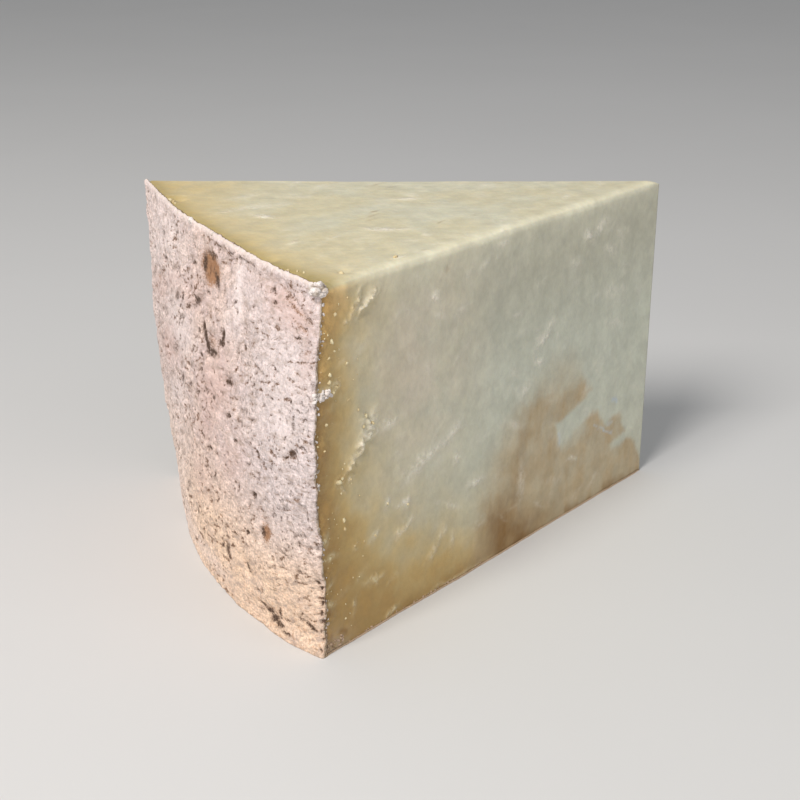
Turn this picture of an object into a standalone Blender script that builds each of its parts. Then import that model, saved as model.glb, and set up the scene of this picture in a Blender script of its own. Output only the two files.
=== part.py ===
"""A wedge cut from a clothbound cheddar wheel, lying on the wheel's flat end.

Metres, +Z up. The curved rind wall faces -X and the pointed end, once the middle of the
wheel, faces +X. The two cut faces run from the point to the rind, one facing -Y and one
facing +Y. The origin is under the middle of the wedge, on the surface that it lies on.

A place on the wedge is given by three numbers: its distance from the pointed end's upright
edge, its turn from -1 at the +Y cut to 1 at the -Y cut, and its height.
"""

from math import cos, exp, log, pi, radians, sin
from random import Random

import bmesh
import bpy
from mathutils import Matrix, Vector, noise

MM = 0.001

# The wedge
NAME = "cheddar_chunk"
WEDGE_ANGLE = radians(48.1)
HEIGHT = 106.5 * MM
POINT_X = 84.0 * MM
POINT_Y = 0.6 * MM

# Distance from the point to the rind, at the middle of the wall and at its two corners
TOP_REACH = 161.2 * MM
TOP_FLARE_BACK = 11.6 * MM
TOP_FLARE_FRONT = 8.8 * MM
BASE_REACH = 166.1 * MM
BASE_SKEW = 5.6 * MM
BASE_FLARE_BACK = 4.6 * MM
BASE_FLARE_FRONT = -1.6 * MM
BASE_FLARE_POWER_BACK = 5
BASE_FLARE_POWER_FRONT = 12
BACK_CORNER_LIFT = 0.9 * MM

# Belly of the wall: how far it swells and at what part of the height, back, middle, front
BELLY = (1.5 * MM, 1.7 * MM, 2.9 * MM)
BELLY_RISE = (0.37, 0.48, 0.61)

# Which of the unevenness patterns each skin takes
SWELL_LAYER, COBBLE_LAYER, FRONT_LAYER, BACK_LAYER, TOP_LAYER, RIM_LAYER = 1, 2, 3, 5, 7, 8
LAYER_STEP = Vector((17.3, 5.9, 11.1))

# Unevenness of the cloth rind and of the cut paste
RIND_SWELL = 0.9 * MM
RIND_SWELL_SIZE = 38 * MM
RIND_COBBLE = 0.55 * MM
RIND_COBBLE_SIZE = 8 * MM
CUT_WAVE = 0.40 * MM
CUT_WAVE_SIZE = 32 * MM
TOP_WAVE = 0.20 * MM
CRUMBLE = 0.75 * MM
CRUMBLE_SIZE = 4.5 * MM
CRUMBLE_BAND = 7 * MM
POINT_CALM = 8 * MM

# The cloth stands proud round the top, is folded over at the foot and frayed at a corner
RIM_RISE = 0.5 * MM
RIM_WIDTH = 1.0 * MM
RIM_RAGGED = 0.8
CREASE_DROP = 4.0 * MM
CREASE_WIDTH = 1.6 * MM
CREASE_DEPTH = 0.6 * MM
CREASE_GROWTH = 0.5
FOLD_HEIGHT = 4.2 * MM
FOLD_PROUD = 0.9 * MM
FOLD_GROOVE = 5.6 * MM
FOLD_GROOVE_DEPTH = 0.63 * MM
FOLD_START = 0.35
TUFT_RISE = 2.4 * MM
TUFT_WIDTH = 2.6 * MM

# Worn scars in the rind: turn, height, half length, half width, depth, lean in degrees
# from upright towards the front corner
SCARS = (
    (0.085, 96.5 * MM, 5.4 * MM, 3.3 * MM, 1.0 * MM, 92),
    (0.115, 73.6 * MM, 5.2 * MM, 2.1 * MM, 1.0 * MM, 88),
    (0.045, 76.8 * MM, 3.2 * MM, 1.7 * MM, 0.9 * MM, -30),
    (0.255, 78.6 * MM, 2.8 * MM, 1.6 * MM, 0.8 * MM, 12),
    (-0.075, 82.8 * MM, 3.8 * MM, 1.7 * MM, 0.7 * MM, 66),
    (-0.13, 95.5 * MM, 3.6 * MM, 1.9 * MM, 0.7 * MM, 90),
    (0.35, 67.8 * MM, 2.8 * MM, 1.5 * MM, 0.6 * MM, 80),
    (0.67, 30.0 * MM, 3.9 * MM, 2.6 * MM, 0.8 * MM, 15),
    (0.33, 14.8 * MM, 3.1 * MM, 2.0 * MM, 0.8 * MM, 10),
    (0.525, 15.2 * MM, 2.8 * MM, 1.7 * MM, 0.7 * MM, -50),
    (0.70, 5.4 * MM, 6.2 * MM, 1.9 * MM, 0.8 * MM, 86),
)
PIT_COUNT = 46
PIT_SEED = 11
PIT_DEPTH = 0.55 * MM
PIT_SIZES = (1.4 * MM, 3.0 * MM)
PIT_NARROWING = (0.5, 0.9)
PIT_TURNS = (-0.95, 0.95)
PIT_RISES = (0.08, 0.94)
PIT_LEANS = (-40, 60)

# Torn flakes on the front cut: distance in from the rind, height, half length, half
# width, how proud, lean in degrees
FLAKES = (
    (19.5 * MM, 98.3 * MM, 5.0 * MM, 1.4 * MM, 0.9 * MM, 56),
    (14.5 * MM, 98.7 * MM, 4.2 * MM, 1.5 * MM, 0.7 * MM, 33),
    (5.1 * MM, 77.4 * MM, 3.4 * MM, 1.5 * MM, 0.9 * MM, 75),
    (20.5 * MM, 67.0 * MM, 4.5 * MM, 1.6 * MM, 0.9 * MM, -45),
    (18.4 * MM, 57.0 * MM, 7.5 * MM, 1.6 * MM, 0.9 * MM, 60),
    (50.3 * MM, 46.3 * MM, 13.0 * MM, 2.4 * MM, 0.4 * MM, 77),
    (36.5 * MM, 27.2 * MM, 4.5 * MM, 1.8 * MM, 0.5 * MM, 72),
    (49.4 * MM, 13.5 * MM, 3.2 * MM, 1.6 * MM, 0.6 * MM, 52),
    (22.7 * MM, 15.7 * MM, 4.0 * MM, 1.7 * MM, 0.6 * MM, -80),
)
# The trough beside a flake's lip: how deep it is for the lip, and how many half widths off
TROUGH_SHARE = 0.6
TROUGH_SIDE = 1.6
HIDDEN_FLAKE_COUNT = 12
HIDDEN_FLAKE_SEED = 23
HIDDEN_FLAKE_DEPTHS = (4 * MM, 50 * MM)
HIDDEN_FLAKE_CROWDING = 1.6
HIDDEN_FLAKE_RISES = (0.08, 0.93)
HIDDEN_FLAKE_LENGTHS = (3.5 * MM, 7.0 * MM)
HIDDEN_FLAKE_WIDTHS = (1.5 * MM, 2.1 * MM)
HIDDEN_FLAKE_PROUD = 0.8 * MM
HIDDEN_FLAKE_LEANS = (25, 65)
TOP_CHIPS = (
    (0.57, 4.0 * MM, 2.2 * MM, 0.8 * MM),
    (-0.57, 5.0 * MM, 2.0 * MM, 0.7 * MM),
    (0.90, 15.0 * MM, 2.4 * MM, 0.6 * MM),
    (0.88, 38.0 * MM, 2.6 * MM, 0.5 * MM),
)

# Cells of the skin along the cut, round the wall and up the wall
REACH_CELLS = 22
TURN_CELLS = 48
RISE_CELLS = 38
REACH_GRADING = 1.5
RISE_GRADING = 0.03
EDGE_ROUNDING = 0.4 * MM
EDGE_SEGMENTS = 2
TOUCHING = 1e-6
SIDE_TOLERANCE = 1e-4

PASTE_COLOUR = (0.44, 0.38, 0.24, 1.0)
PASTE_ROUGHNESS = 0.42
RIND_COLOUR = (0.60, 0.48, 0.42, 1.0)
RIND_ROUGHNESS = 0.88
PASTE_SLOT = 0
RIND_SLOT = 1


def clear_scene():
    for thing in list(bpy.data.objects):
        bpy.data.objects.remove(thing, do_unlink=True)


def make_material(name, colour, roughness):
    material = bpy.data.materials.new(name)
    material.use_nodes = True
    shader = material.node_tree.nodes["Principled BSDF"]
    shader.inputs["Base Color"].default_value = colour
    shader.inputs["Roughness"].default_value = roughness
    shader.inputs["Metallic"].default_value = 0.0
    material.diffuse_color = colour
    return material


def back_to_front(turn, values):
    """Blend three values given for the back corner, the middle and the front corner."""
    back, middle, front = values
    corner = back if turn < 0 else front
    return middle + (corner - middle) * turn * turn


def wall_reach(turn, rise):
    """Distance from the point's edge to the rind, at a part of the height from 0 to 1."""
    top_flare = TOP_FLARE_BACK if turn < 0 else TOP_FLARE_FRONT
    base_flare = BASE_FLARE_BACK if turn < 0 else BASE_FLARE_FRONT
    power = BASE_FLARE_POWER_BACK if turn < 0 else BASE_FLARE_POWER_FRONT
    top = TOP_REACH + top_flare * turn * turn
    base = BASE_REACH + BASE_SKEW * turn + base_flare * abs(turn) ** power
    peak = log(0.5) / log(back_to_front(turn, BELLY_RISE))
    belly = back_to_front(turn, BELLY) * sin(pi * rise**peak)
    return base + (top - base) * rise + belly


def direction(turn):
    """The level direction from the point towards the rind at a turn."""
    angle = pi + turn * WEDGE_ANGLE / 2
    return Vector((cos(angle), sin(angle), 0.0))


def swell(place, size, layer):
    """Smooth unevenness between about -1 and 1, its bumps of a given size."""
    return noise.noise(place / size + layer * LAYER_STEP)


def bell(distance):
    """1 at distance 0, falling smoothly to nothing past 2."""
    return exp(-distance * distance)


def along_and_across(side, up, lean):
    """Turn a step sideways and upwards into steps along and across a leaning mark."""
    angle = radians(lean)
    along = up * cos(angle) + side * sin(angle)
    across = side * cos(angle) - up * sin(angle)
    return along, across


def dent(side, up, half_length, half_width, lean):
    along, across = along_and_across(side, up, lean)
    return bell(along / half_length) * bell(across / half_width)


def torn_flake(side, up, half_length, half_width, lean):
    """A raised lip of torn curd with a shallow trough beside it."""
    along, across = along_and_across(side, up, lean)
    lip = bell(across / half_width)
    trough = bell(across / half_width - TROUGH_SIDE)
    return bell(along / half_length) * (lip - TROUGH_SHARE * trough)


def scattered_pits():
    """Small pits of the old cloth, spread over the wall."""
    draw = Random(PIT_SEED)
    pits = []
    for _ in range(PIT_COUNT):
        turn = draw.uniform(*PIT_TURNS)
        height = draw.uniform(*PIT_RISES) * HEIGHT
        half_length = draw.uniform(*PIT_SIZES)
        half_width = half_length * draw.uniform(*PIT_NARROWING)
        lean = draw.uniform(*PIT_LEANS)
        pits.append((turn, height, half_length, half_width, PIT_DEPTH, lean))
    return pits


def scattered_flakes():
    """Torn flakes for the cut that faces away, most of them near the rind."""
    draw = Random(HIDDEN_FLAKE_SEED)
    nearest, farthest = HIDDEN_FLAKE_DEPTHS
    flakes = []
    for _ in range(HIDDEN_FLAKE_COUNT):
        depth = nearest + (farthest - nearest) * draw.random() ** HIDDEN_FLAKE_CROWDING
        height = draw.uniform(*HIDDEN_FLAKE_RISES) * HEIGHT
        half_length = draw.uniform(*HIDDEN_FLAKE_LENGTHS)
        half_width = draw.uniform(*HIDDEN_FLAKE_WIDTHS)
        lean = draw.uniform(*HIDDEN_FLAKE_LEANS)
        flakes.append((depth, height, half_length, half_width, HIDDEN_FLAKE_PROUD, lean))
    return flakes


WALL_MARKS = SCARS + tuple(scattered_pits())
BACK_FLAKES = scattered_flakes()


def foot_fold(turn, height):
    """The cloth folded over the wheel's edge: a low roll and a groove above it."""
    share = min(1.0, max(0.0, (turn - FOLD_START) / (1.0 - FOLD_START)))
    roll = FOLD_PROUD * bell((height - FOLD_HEIGHT / 2) / FOLD_HEIGHT)
    groove = FOLD_GROOVE_DEPTH * bell((height - FOLD_GROOVE) / CREASE_WIDTH)
    return share * (roll - groove)


def wall_relief(turn, height, place):
    """How far the cloth rind stands out from the plain wall."""
    relief = RIND_SWELL * swell(place, RIND_SWELL_SIZE, SWELL_LAYER)
    relief += RIND_COBBLE * swell(place, RIND_COBBLE_SIZE, COBBLE_LAYER)
    crease_share = max(0.0, turn) ** CREASE_GROWTH
    relief -= crease_share * CREASE_DEPTH * bell((HEIGHT - CREASE_DROP - height) / CREASE_WIDTH)
    relief += foot_fold(turn, height)
    arc = WEDGE_ANGLE / 2 * BASE_REACH
    for mark_turn, mark_height, half_length, half_width, depth, lean in WALL_MARKS:
        side = (turn - mark_turn) * arc
        relief -= depth * dent(side, height - mark_height, half_length, half_width, lean)
    return relief


def cut_relief(reach, depth, height, place, flakes, layer):
    """How far a cut face stands out from its plane, quiet towards the point."""
    calm = min(1.0, reach / POINT_CALM)
    relief = CUT_WAVE * swell(place, CUT_WAVE_SIZE, layer)
    near_rind = bell(depth / CRUMBLE_BAND)
    relief += CRUMBLE * near_rind * swell(place, CRUMBLE_SIZE, layer + 1)
    for flake_depth, flake_height, half_length, half_width, proud, lean in flakes:
        side = depth - flake_depth
        up = height - flake_height
        relief += proud * torn_flake(side, up, half_length, half_width, lean)
    return calm * relief


def top_relief(turn, reach, place):
    """How far the top cut stands up from its plane: the rim of cloth, chips and a tuft."""
    limit = wall_reach(turn, 1.0)
    depth = limit - reach
    relief = TOP_WAVE * swell(place, CUT_WAVE_SIZE, TOP_LAYER)
    relief += BACK_CORNER_LIFT * (max(0.0, -turn) * reach / limit) ** 2
    ragged = 1.0 + RIM_RAGGED * swell(place, CRUMBLE_SIZE, RIM_LAYER)
    relief += RIM_RISE * ragged * bell(depth / RIM_WIDTH)
    for chip_turn, chip_depth, half_width, sunk in TOP_CHIPS:
        side = (turn - chip_turn) * WEDGE_ANGLE / 2 * reach
        relief -= sunk * dent(side, depth - chip_depth, half_width, half_width, 0)
    from_corner = (place - direction(1) * wall_reach(1, 1) - Vector((0, 0, HEIGHT))).length
    relief += TUFT_RISE * bell(from_corner / TUFT_WIDTH)
    return relief


def on_side(value, side):
    return abs(value - side) < SIDE_TOLERANCE


def skin_point(along, across, up):
    """Carry a point of the unit block's skin to its place on the wedge."""
    share = 1.0 - (1.0 - along) ** REACH_GRADING
    turn = 2.0 * across - 1.0
    rise = up - RISE_GRADING * sin(2 * pi * up)
    limit = wall_reach(turn, rise)
    reach = share * limit
    height = rise * HEIGHT
    outward = direction(turn)
    place = outward * reach + Vector((0.0, 0.0, height))
    moved = place.copy()
    if on_side(along, 1):
        moved += outward * wall_relief(turn, height, place)
    if on_side(across, 0) or on_side(across, 1):
        facing_front = on_side(across, 1)
        flakes = FLAKES if facing_front else BACK_FLAKES
        layer = FRONT_LAYER if facing_front else BACK_LAYER
        normal = Vector((-outward.y, outward.x, 0.0)) * (1 if facing_front else -1)
        moved += normal * cut_relief(reach, limit - reach, height, place, flakes, layer)
    if on_side(up, 1):
        moved.z += top_relief(turn, reach, place)
    return moved + Vector((POINT_X, POINT_Y, 0.0))


def gridded_block():
    """A unit cube whose sides carry the skin's cells, open where the point will close."""
    block = bmesh.new()
    bmesh.ops.create_cube(block, size=1.0, matrix=Matrix.Translation((0.5, 0.5, 0.5)))
    for axis, cells in enumerate((REACH_CELLS, TURN_CELLS, RISE_CELLS)):
        rungs = [
            edge
            for edge in block.edges
            if not on_side(edge.verts[0].co[axis], edge.verts[1].co[axis])
        ]
        bmesh.ops.subdivide_edges(block, edges=rungs, cuts=cells - 1, use_grid_fill=True)
    closing = [face for face in block.faces if on_side(face.calc_center_median().x, 0)]
    bmesh.ops.delete(block, geom=closing, context="FACES")
    return block


def mark_sides(block):
    """Give wall and foot the rind's material, and weight the edges that get rounded."""
    weights = block.edges.layers.float.new("bevel_weight_edge")
    for face in block.faces:
        middle = face.calc_center_median()
        is_rind = on_side(middle.x, 1) or on_side(middle.z, 0)
        face.material_index = RIND_SLOT if is_rind else PASTE_SLOT
        face.smooth = True
    for edge in block.edges:
        ends = [vert.co for vert in edge.verts]
        cube_sides = 0
        for axis in range(3):
            for side in (0, 1):
                cube_sides += all(on_side(end[axis], side) for end in ends)
        touches_foot = all(on_side(end.z, 0) for end in ends)
        if cube_sides == 2 and not touches_foot:
            edge[weights] = 1.0


def build_wedge():
    block = gridded_block()
    mark_sides(block)
    foot = [face for face in block.faces if on_side(face.calc_center_median().z, 0)]
    for vert in block.verts:
        vert.co = skin_point(*vert.co)
    bmesh.ops.dissolve_faces(block, faces=foot)
    bmesh.ops.remove_doubles(block, verts=block.verts, dist=TOUCHING)
    bmesh.ops.recalc_face_normals(block, faces=block.faces)
    mesh = bpy.data.meshes.new(NAME)
    block.to_mesh(mesh)
    block.free()
    return mesh


def main():
    clear_scene()
    collection = bpy.data.collections.new(NAME + "_parts")
    bpy.context.scene.collection.children.link(collection)
    wedge = bpy.data.objects.new(NAME, build_wedge())
    collection.objects.link(wedge)
    wedge.data.materials.append(make_material("cheddar_paste", PASTE_COLOUR, PASTE_ROUGHNESS))
    wedge.data.materials.append(make_material("cheddar_rind", RIND_COLOUR, RIND_ROUGHNESS))
    rounding = wedge.modifiers.new("rounded_cut_edges", "BEVEL")
    rounding.limit_method = "WEIGHT"
    rounding.width = EDGE_ROUNDING
    rounding.segments = EDGE_SEGMENTS
    rounding.use_clamp_overlap = True


main()
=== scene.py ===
"""The looks of a wedge of clothbound cheddar: its paste, its cloth rind, its crumbs and frays.

Metres, +Z up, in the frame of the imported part. A place on the wedge is given by its reach,
which is its distance from the pointed end's upright edge, its turn from -1 at the +Y cut to
1 at the -Y cut, and its height. Its depth is how far in from the rind it lies.
"""
from math import cos, pi, radians, sin
from random import Random

import bmesh
import bpy
import numpy as np
from mathutils import Euler, Matrix, Vector, noise
from mathutils.geometry import delaunay_2d_cdt


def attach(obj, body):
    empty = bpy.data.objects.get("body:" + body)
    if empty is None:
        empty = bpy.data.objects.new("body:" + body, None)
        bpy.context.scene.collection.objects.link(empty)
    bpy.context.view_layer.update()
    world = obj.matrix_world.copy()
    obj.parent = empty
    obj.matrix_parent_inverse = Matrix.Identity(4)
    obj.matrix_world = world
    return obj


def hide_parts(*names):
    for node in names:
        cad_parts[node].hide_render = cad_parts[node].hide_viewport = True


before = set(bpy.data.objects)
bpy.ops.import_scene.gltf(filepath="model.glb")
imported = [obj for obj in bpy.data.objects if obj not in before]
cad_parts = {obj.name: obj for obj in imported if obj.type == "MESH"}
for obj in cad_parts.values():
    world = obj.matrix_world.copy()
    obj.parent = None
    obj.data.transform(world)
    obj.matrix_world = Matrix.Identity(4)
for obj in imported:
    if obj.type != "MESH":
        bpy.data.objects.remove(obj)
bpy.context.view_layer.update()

MM = 0.001
NODE = "cheddar_chunk"
BODY = "root"

# The wedge, as its solid is made
WEDGE_ANGLE = radians(48.1)
HEIGHT = 106.5 * MM
POINT = np.array((84.0, 0.6, 0.0)) * MM
TOP_REACH = 161.2 * MM
TOP_FLARE_BACK = 11.6 * MM
TOP_FLARE_FRONT = 8.8 * MM
BASE_REACH = 166.1 * MM
BASE_SKEW = 5.6 * MM
BASE_FLARE_BACK = 4.6 * MM
BASE_FLARE_FRONT = -1.6 * MM
BASE_FLARE_POWER_BACK = 5
BASE_FLARE_POWER_FRONT = 12
BACK_CORNER_LIFT = 0.9 * MM
BELLY = (1.5 * MM, 1.7 * MM, 2.9 * MM)
BELLY_RISE = (0.37, 0.48, 0.61)
RIND_SWELL = 0.9 * MM
RIND_SWELL_SIZE = 38 * MM
RIND_COBBLE = 0.55 * MM
RIND_COBBLE_SIZE = 8 * MM
CUT_WAVE = 0.40 * MM
CUT_WAVE_SIZE = 32 * MM
CRUMBLE = 0.75 * MM
CRUMBLE_SIZE = 4.5 * MM
CRUMBLE_BAND = 7 * MM
POINT_CALM = 8 * MM
CREASE_DROP = 4.0 * MM
CREASE_WIDTH = 1.6 * MM
CREASE_DEPTH = 0.6 * MM
FOLD_HEIGHT = 4.2 * MM
FOLD_PROUD = 0.9 * MM
FOLD_GROOVE = 5.6 * MM
FOLD_GROOVE_SHARE = 0.7
FOLD_START = 0.35
WALL_ARC = WEDGE_ANGLE * BASE_REACH
HALF_ARC = WALL_ARC / 2

# The rind is old cloth over a dry skin: it stands a little proud of the paste at each cut
RIND_DEPTH = 1.10 * MM
RIND_DEPTH_VARIES = 0.35 * MM
RIND_DEPTH_SIZE = 7 * MM
FOOT_DEPTH = 0.45 * MM
RIND_GAP = 0.18 * MM
RIM_PROUD = 0.45 * MM
EDGE_PROUD = 0.25 * MM
GROOVE = 0.5 * MM
GROOVE_WIDTH = 0.8 * MM
GROOVE_ON_CUT = 0.6
THINNEST = 0.35 * MM

# Spacing of the points of each mesh
WALL_STEP = 0.43 * MM
NEAR_STEP = 0.52 * MM
FAR_STEP = 0.86 * MM
FINE_DEPTH = 26 * MM
TOP_STEP = 0.80 * MM
BACK_COARSER = 1.25
HIDDEN_STEP = 4.0 * MM
SOLE_STEP = 2.4 * MM
EDGE_ROWS = (0.25 * MM, 0.6 * MM)
JITTER = 0.16


def in_mm(count, rows):
    """Take rows whose first numbers, as many as counted, are written in millimetres."""
    return tuple(tuple(value * MM for value in row[:count]) + row[count:] for row in rows)


def back_to_front(turn, values):
    """Blend three values given for the back corner, the middle and the front corner."""
    back, middle, front = values
    corner = np.where(turn < 0, back, front)
    return middle + (corner - middle) * turn * turn


def wall_reach(turn, rise):
    """Distance from the point's edge to the rind, at a part of the height from 0 to 1."""
    top_flare = np.where(turn < 0, TOP_FLARE_BACK, TOP_FLARE_FRONT)
    base_flare = np.where(turn < 0, BASE_FLARE_BACK, BASE_FLARE_FRONT)
    power = np.where(turn < 0, BASE_FLARE_POWER_BACK, BASE_FLARE_POWER_FRONT)
    top = TOP_REACH + top_flare * turn * turn
    base = BASE_REACH + BASE_SKEW * turn + base_flare * np.abs(turn) ** power
    peak = np.log(0.5) / np.log(back_to_front(turn, BELLY_RISE))
    belly = back_to_front(turn, BELLY) * np.sin(pi * np.clip(rise, 0, 1) ** peak)
    return base + (top - base) * rise + belly


def directions(turn):
    """The level directions from the point towards the rind at these turns."""
    angle = pi + turn * WEDGE_ANGLE / 2
    return np.stack((np.cos(angle), np.sin(angle), np.zeros_like(angle)), axis=1)


def swell(places, size, layer):
    """Smooth unevenness between about -1 and 1, its bumps of a given size.

    Each layer is another pattern of the same kind, so that two reliefs don't share their bumps.
    """
    moved = places / size + np.array((17.3, 5.9, 11.1)) * layer
    return np.array([noise.noise(spot) for spot in moved.tolist()])


def bell(distance):
    """1 at distance 0, falling smoothly to nothing past 2."""
    return np.exp(-distance * distance)


def along_and_across(side, up, lean):
    """Turn a step sideways and upwards into steps along and across a leaning mark."""
    angle = radians(lean)
    return up * cos(angle) + side * sin(angle), side * cos(angle) - up * sin(angle)


def leaning(side, up, lean, sizes):
    """Places on a flat pattern that leans, its features as wide and as long as given."""
    along, across = along_and_across(side, up, lean)
    width, length = sizes
    return np.stack((across / width, along / length, np.zeros_like(side)), axis=1)


# --- Relief of the wall ---------------------------------------------------------------

# Worn scars in the rind, as in the solid: turn, height, half length, half width, depth, lean
# in degrees from upright towards the front corner
SCARS = (
    (0.085, 96.5 * MM, 5.4 * MM, 3.3 * MM, 1.0 * MM, 92),
    (0.115, 73.6 * MM, 5.2 * MM, 2.1 * MM, 1.0 * MM, 88),
    (0.045, 76.8 * MM, 3.2 * MM, 1.7 * MM, 0.9 * MM, -30),
    (0.255, 78.6 * MM, 2.8 * MM, 1.6 * MM, 0.8 * MM, 12),
    (-0.075, 82.8 * MM, 3.8 * MM, 1.7 * MM, 0.7 * MM, 66),
    (-0.13, 95.5 * MM, 3.6 * MM, 1.9 * MM, 0.7 * MM, 90),
    (0.35, 67.8 * MM, 2.8 * MM, 1.5 * MM, 0.6 * MM, 80),
    (0.67, 30.0 * MM, 3.9 * MM, 2.6 * MM, 0.8 * MM, 15),
    (0.33, 14.8 * MM, 3.1 * MM, 2.0 * MM, 0.8 * MM, 10),
    (0.525, 15.2 * MM, 2.8 * MM, 1.7 * MM, 0.7 * MM, -50),
    (0.70, 5.4 * MM, 6.2 * MM, 1.9 * MM, 0.8 * MM, 86),
)
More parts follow.
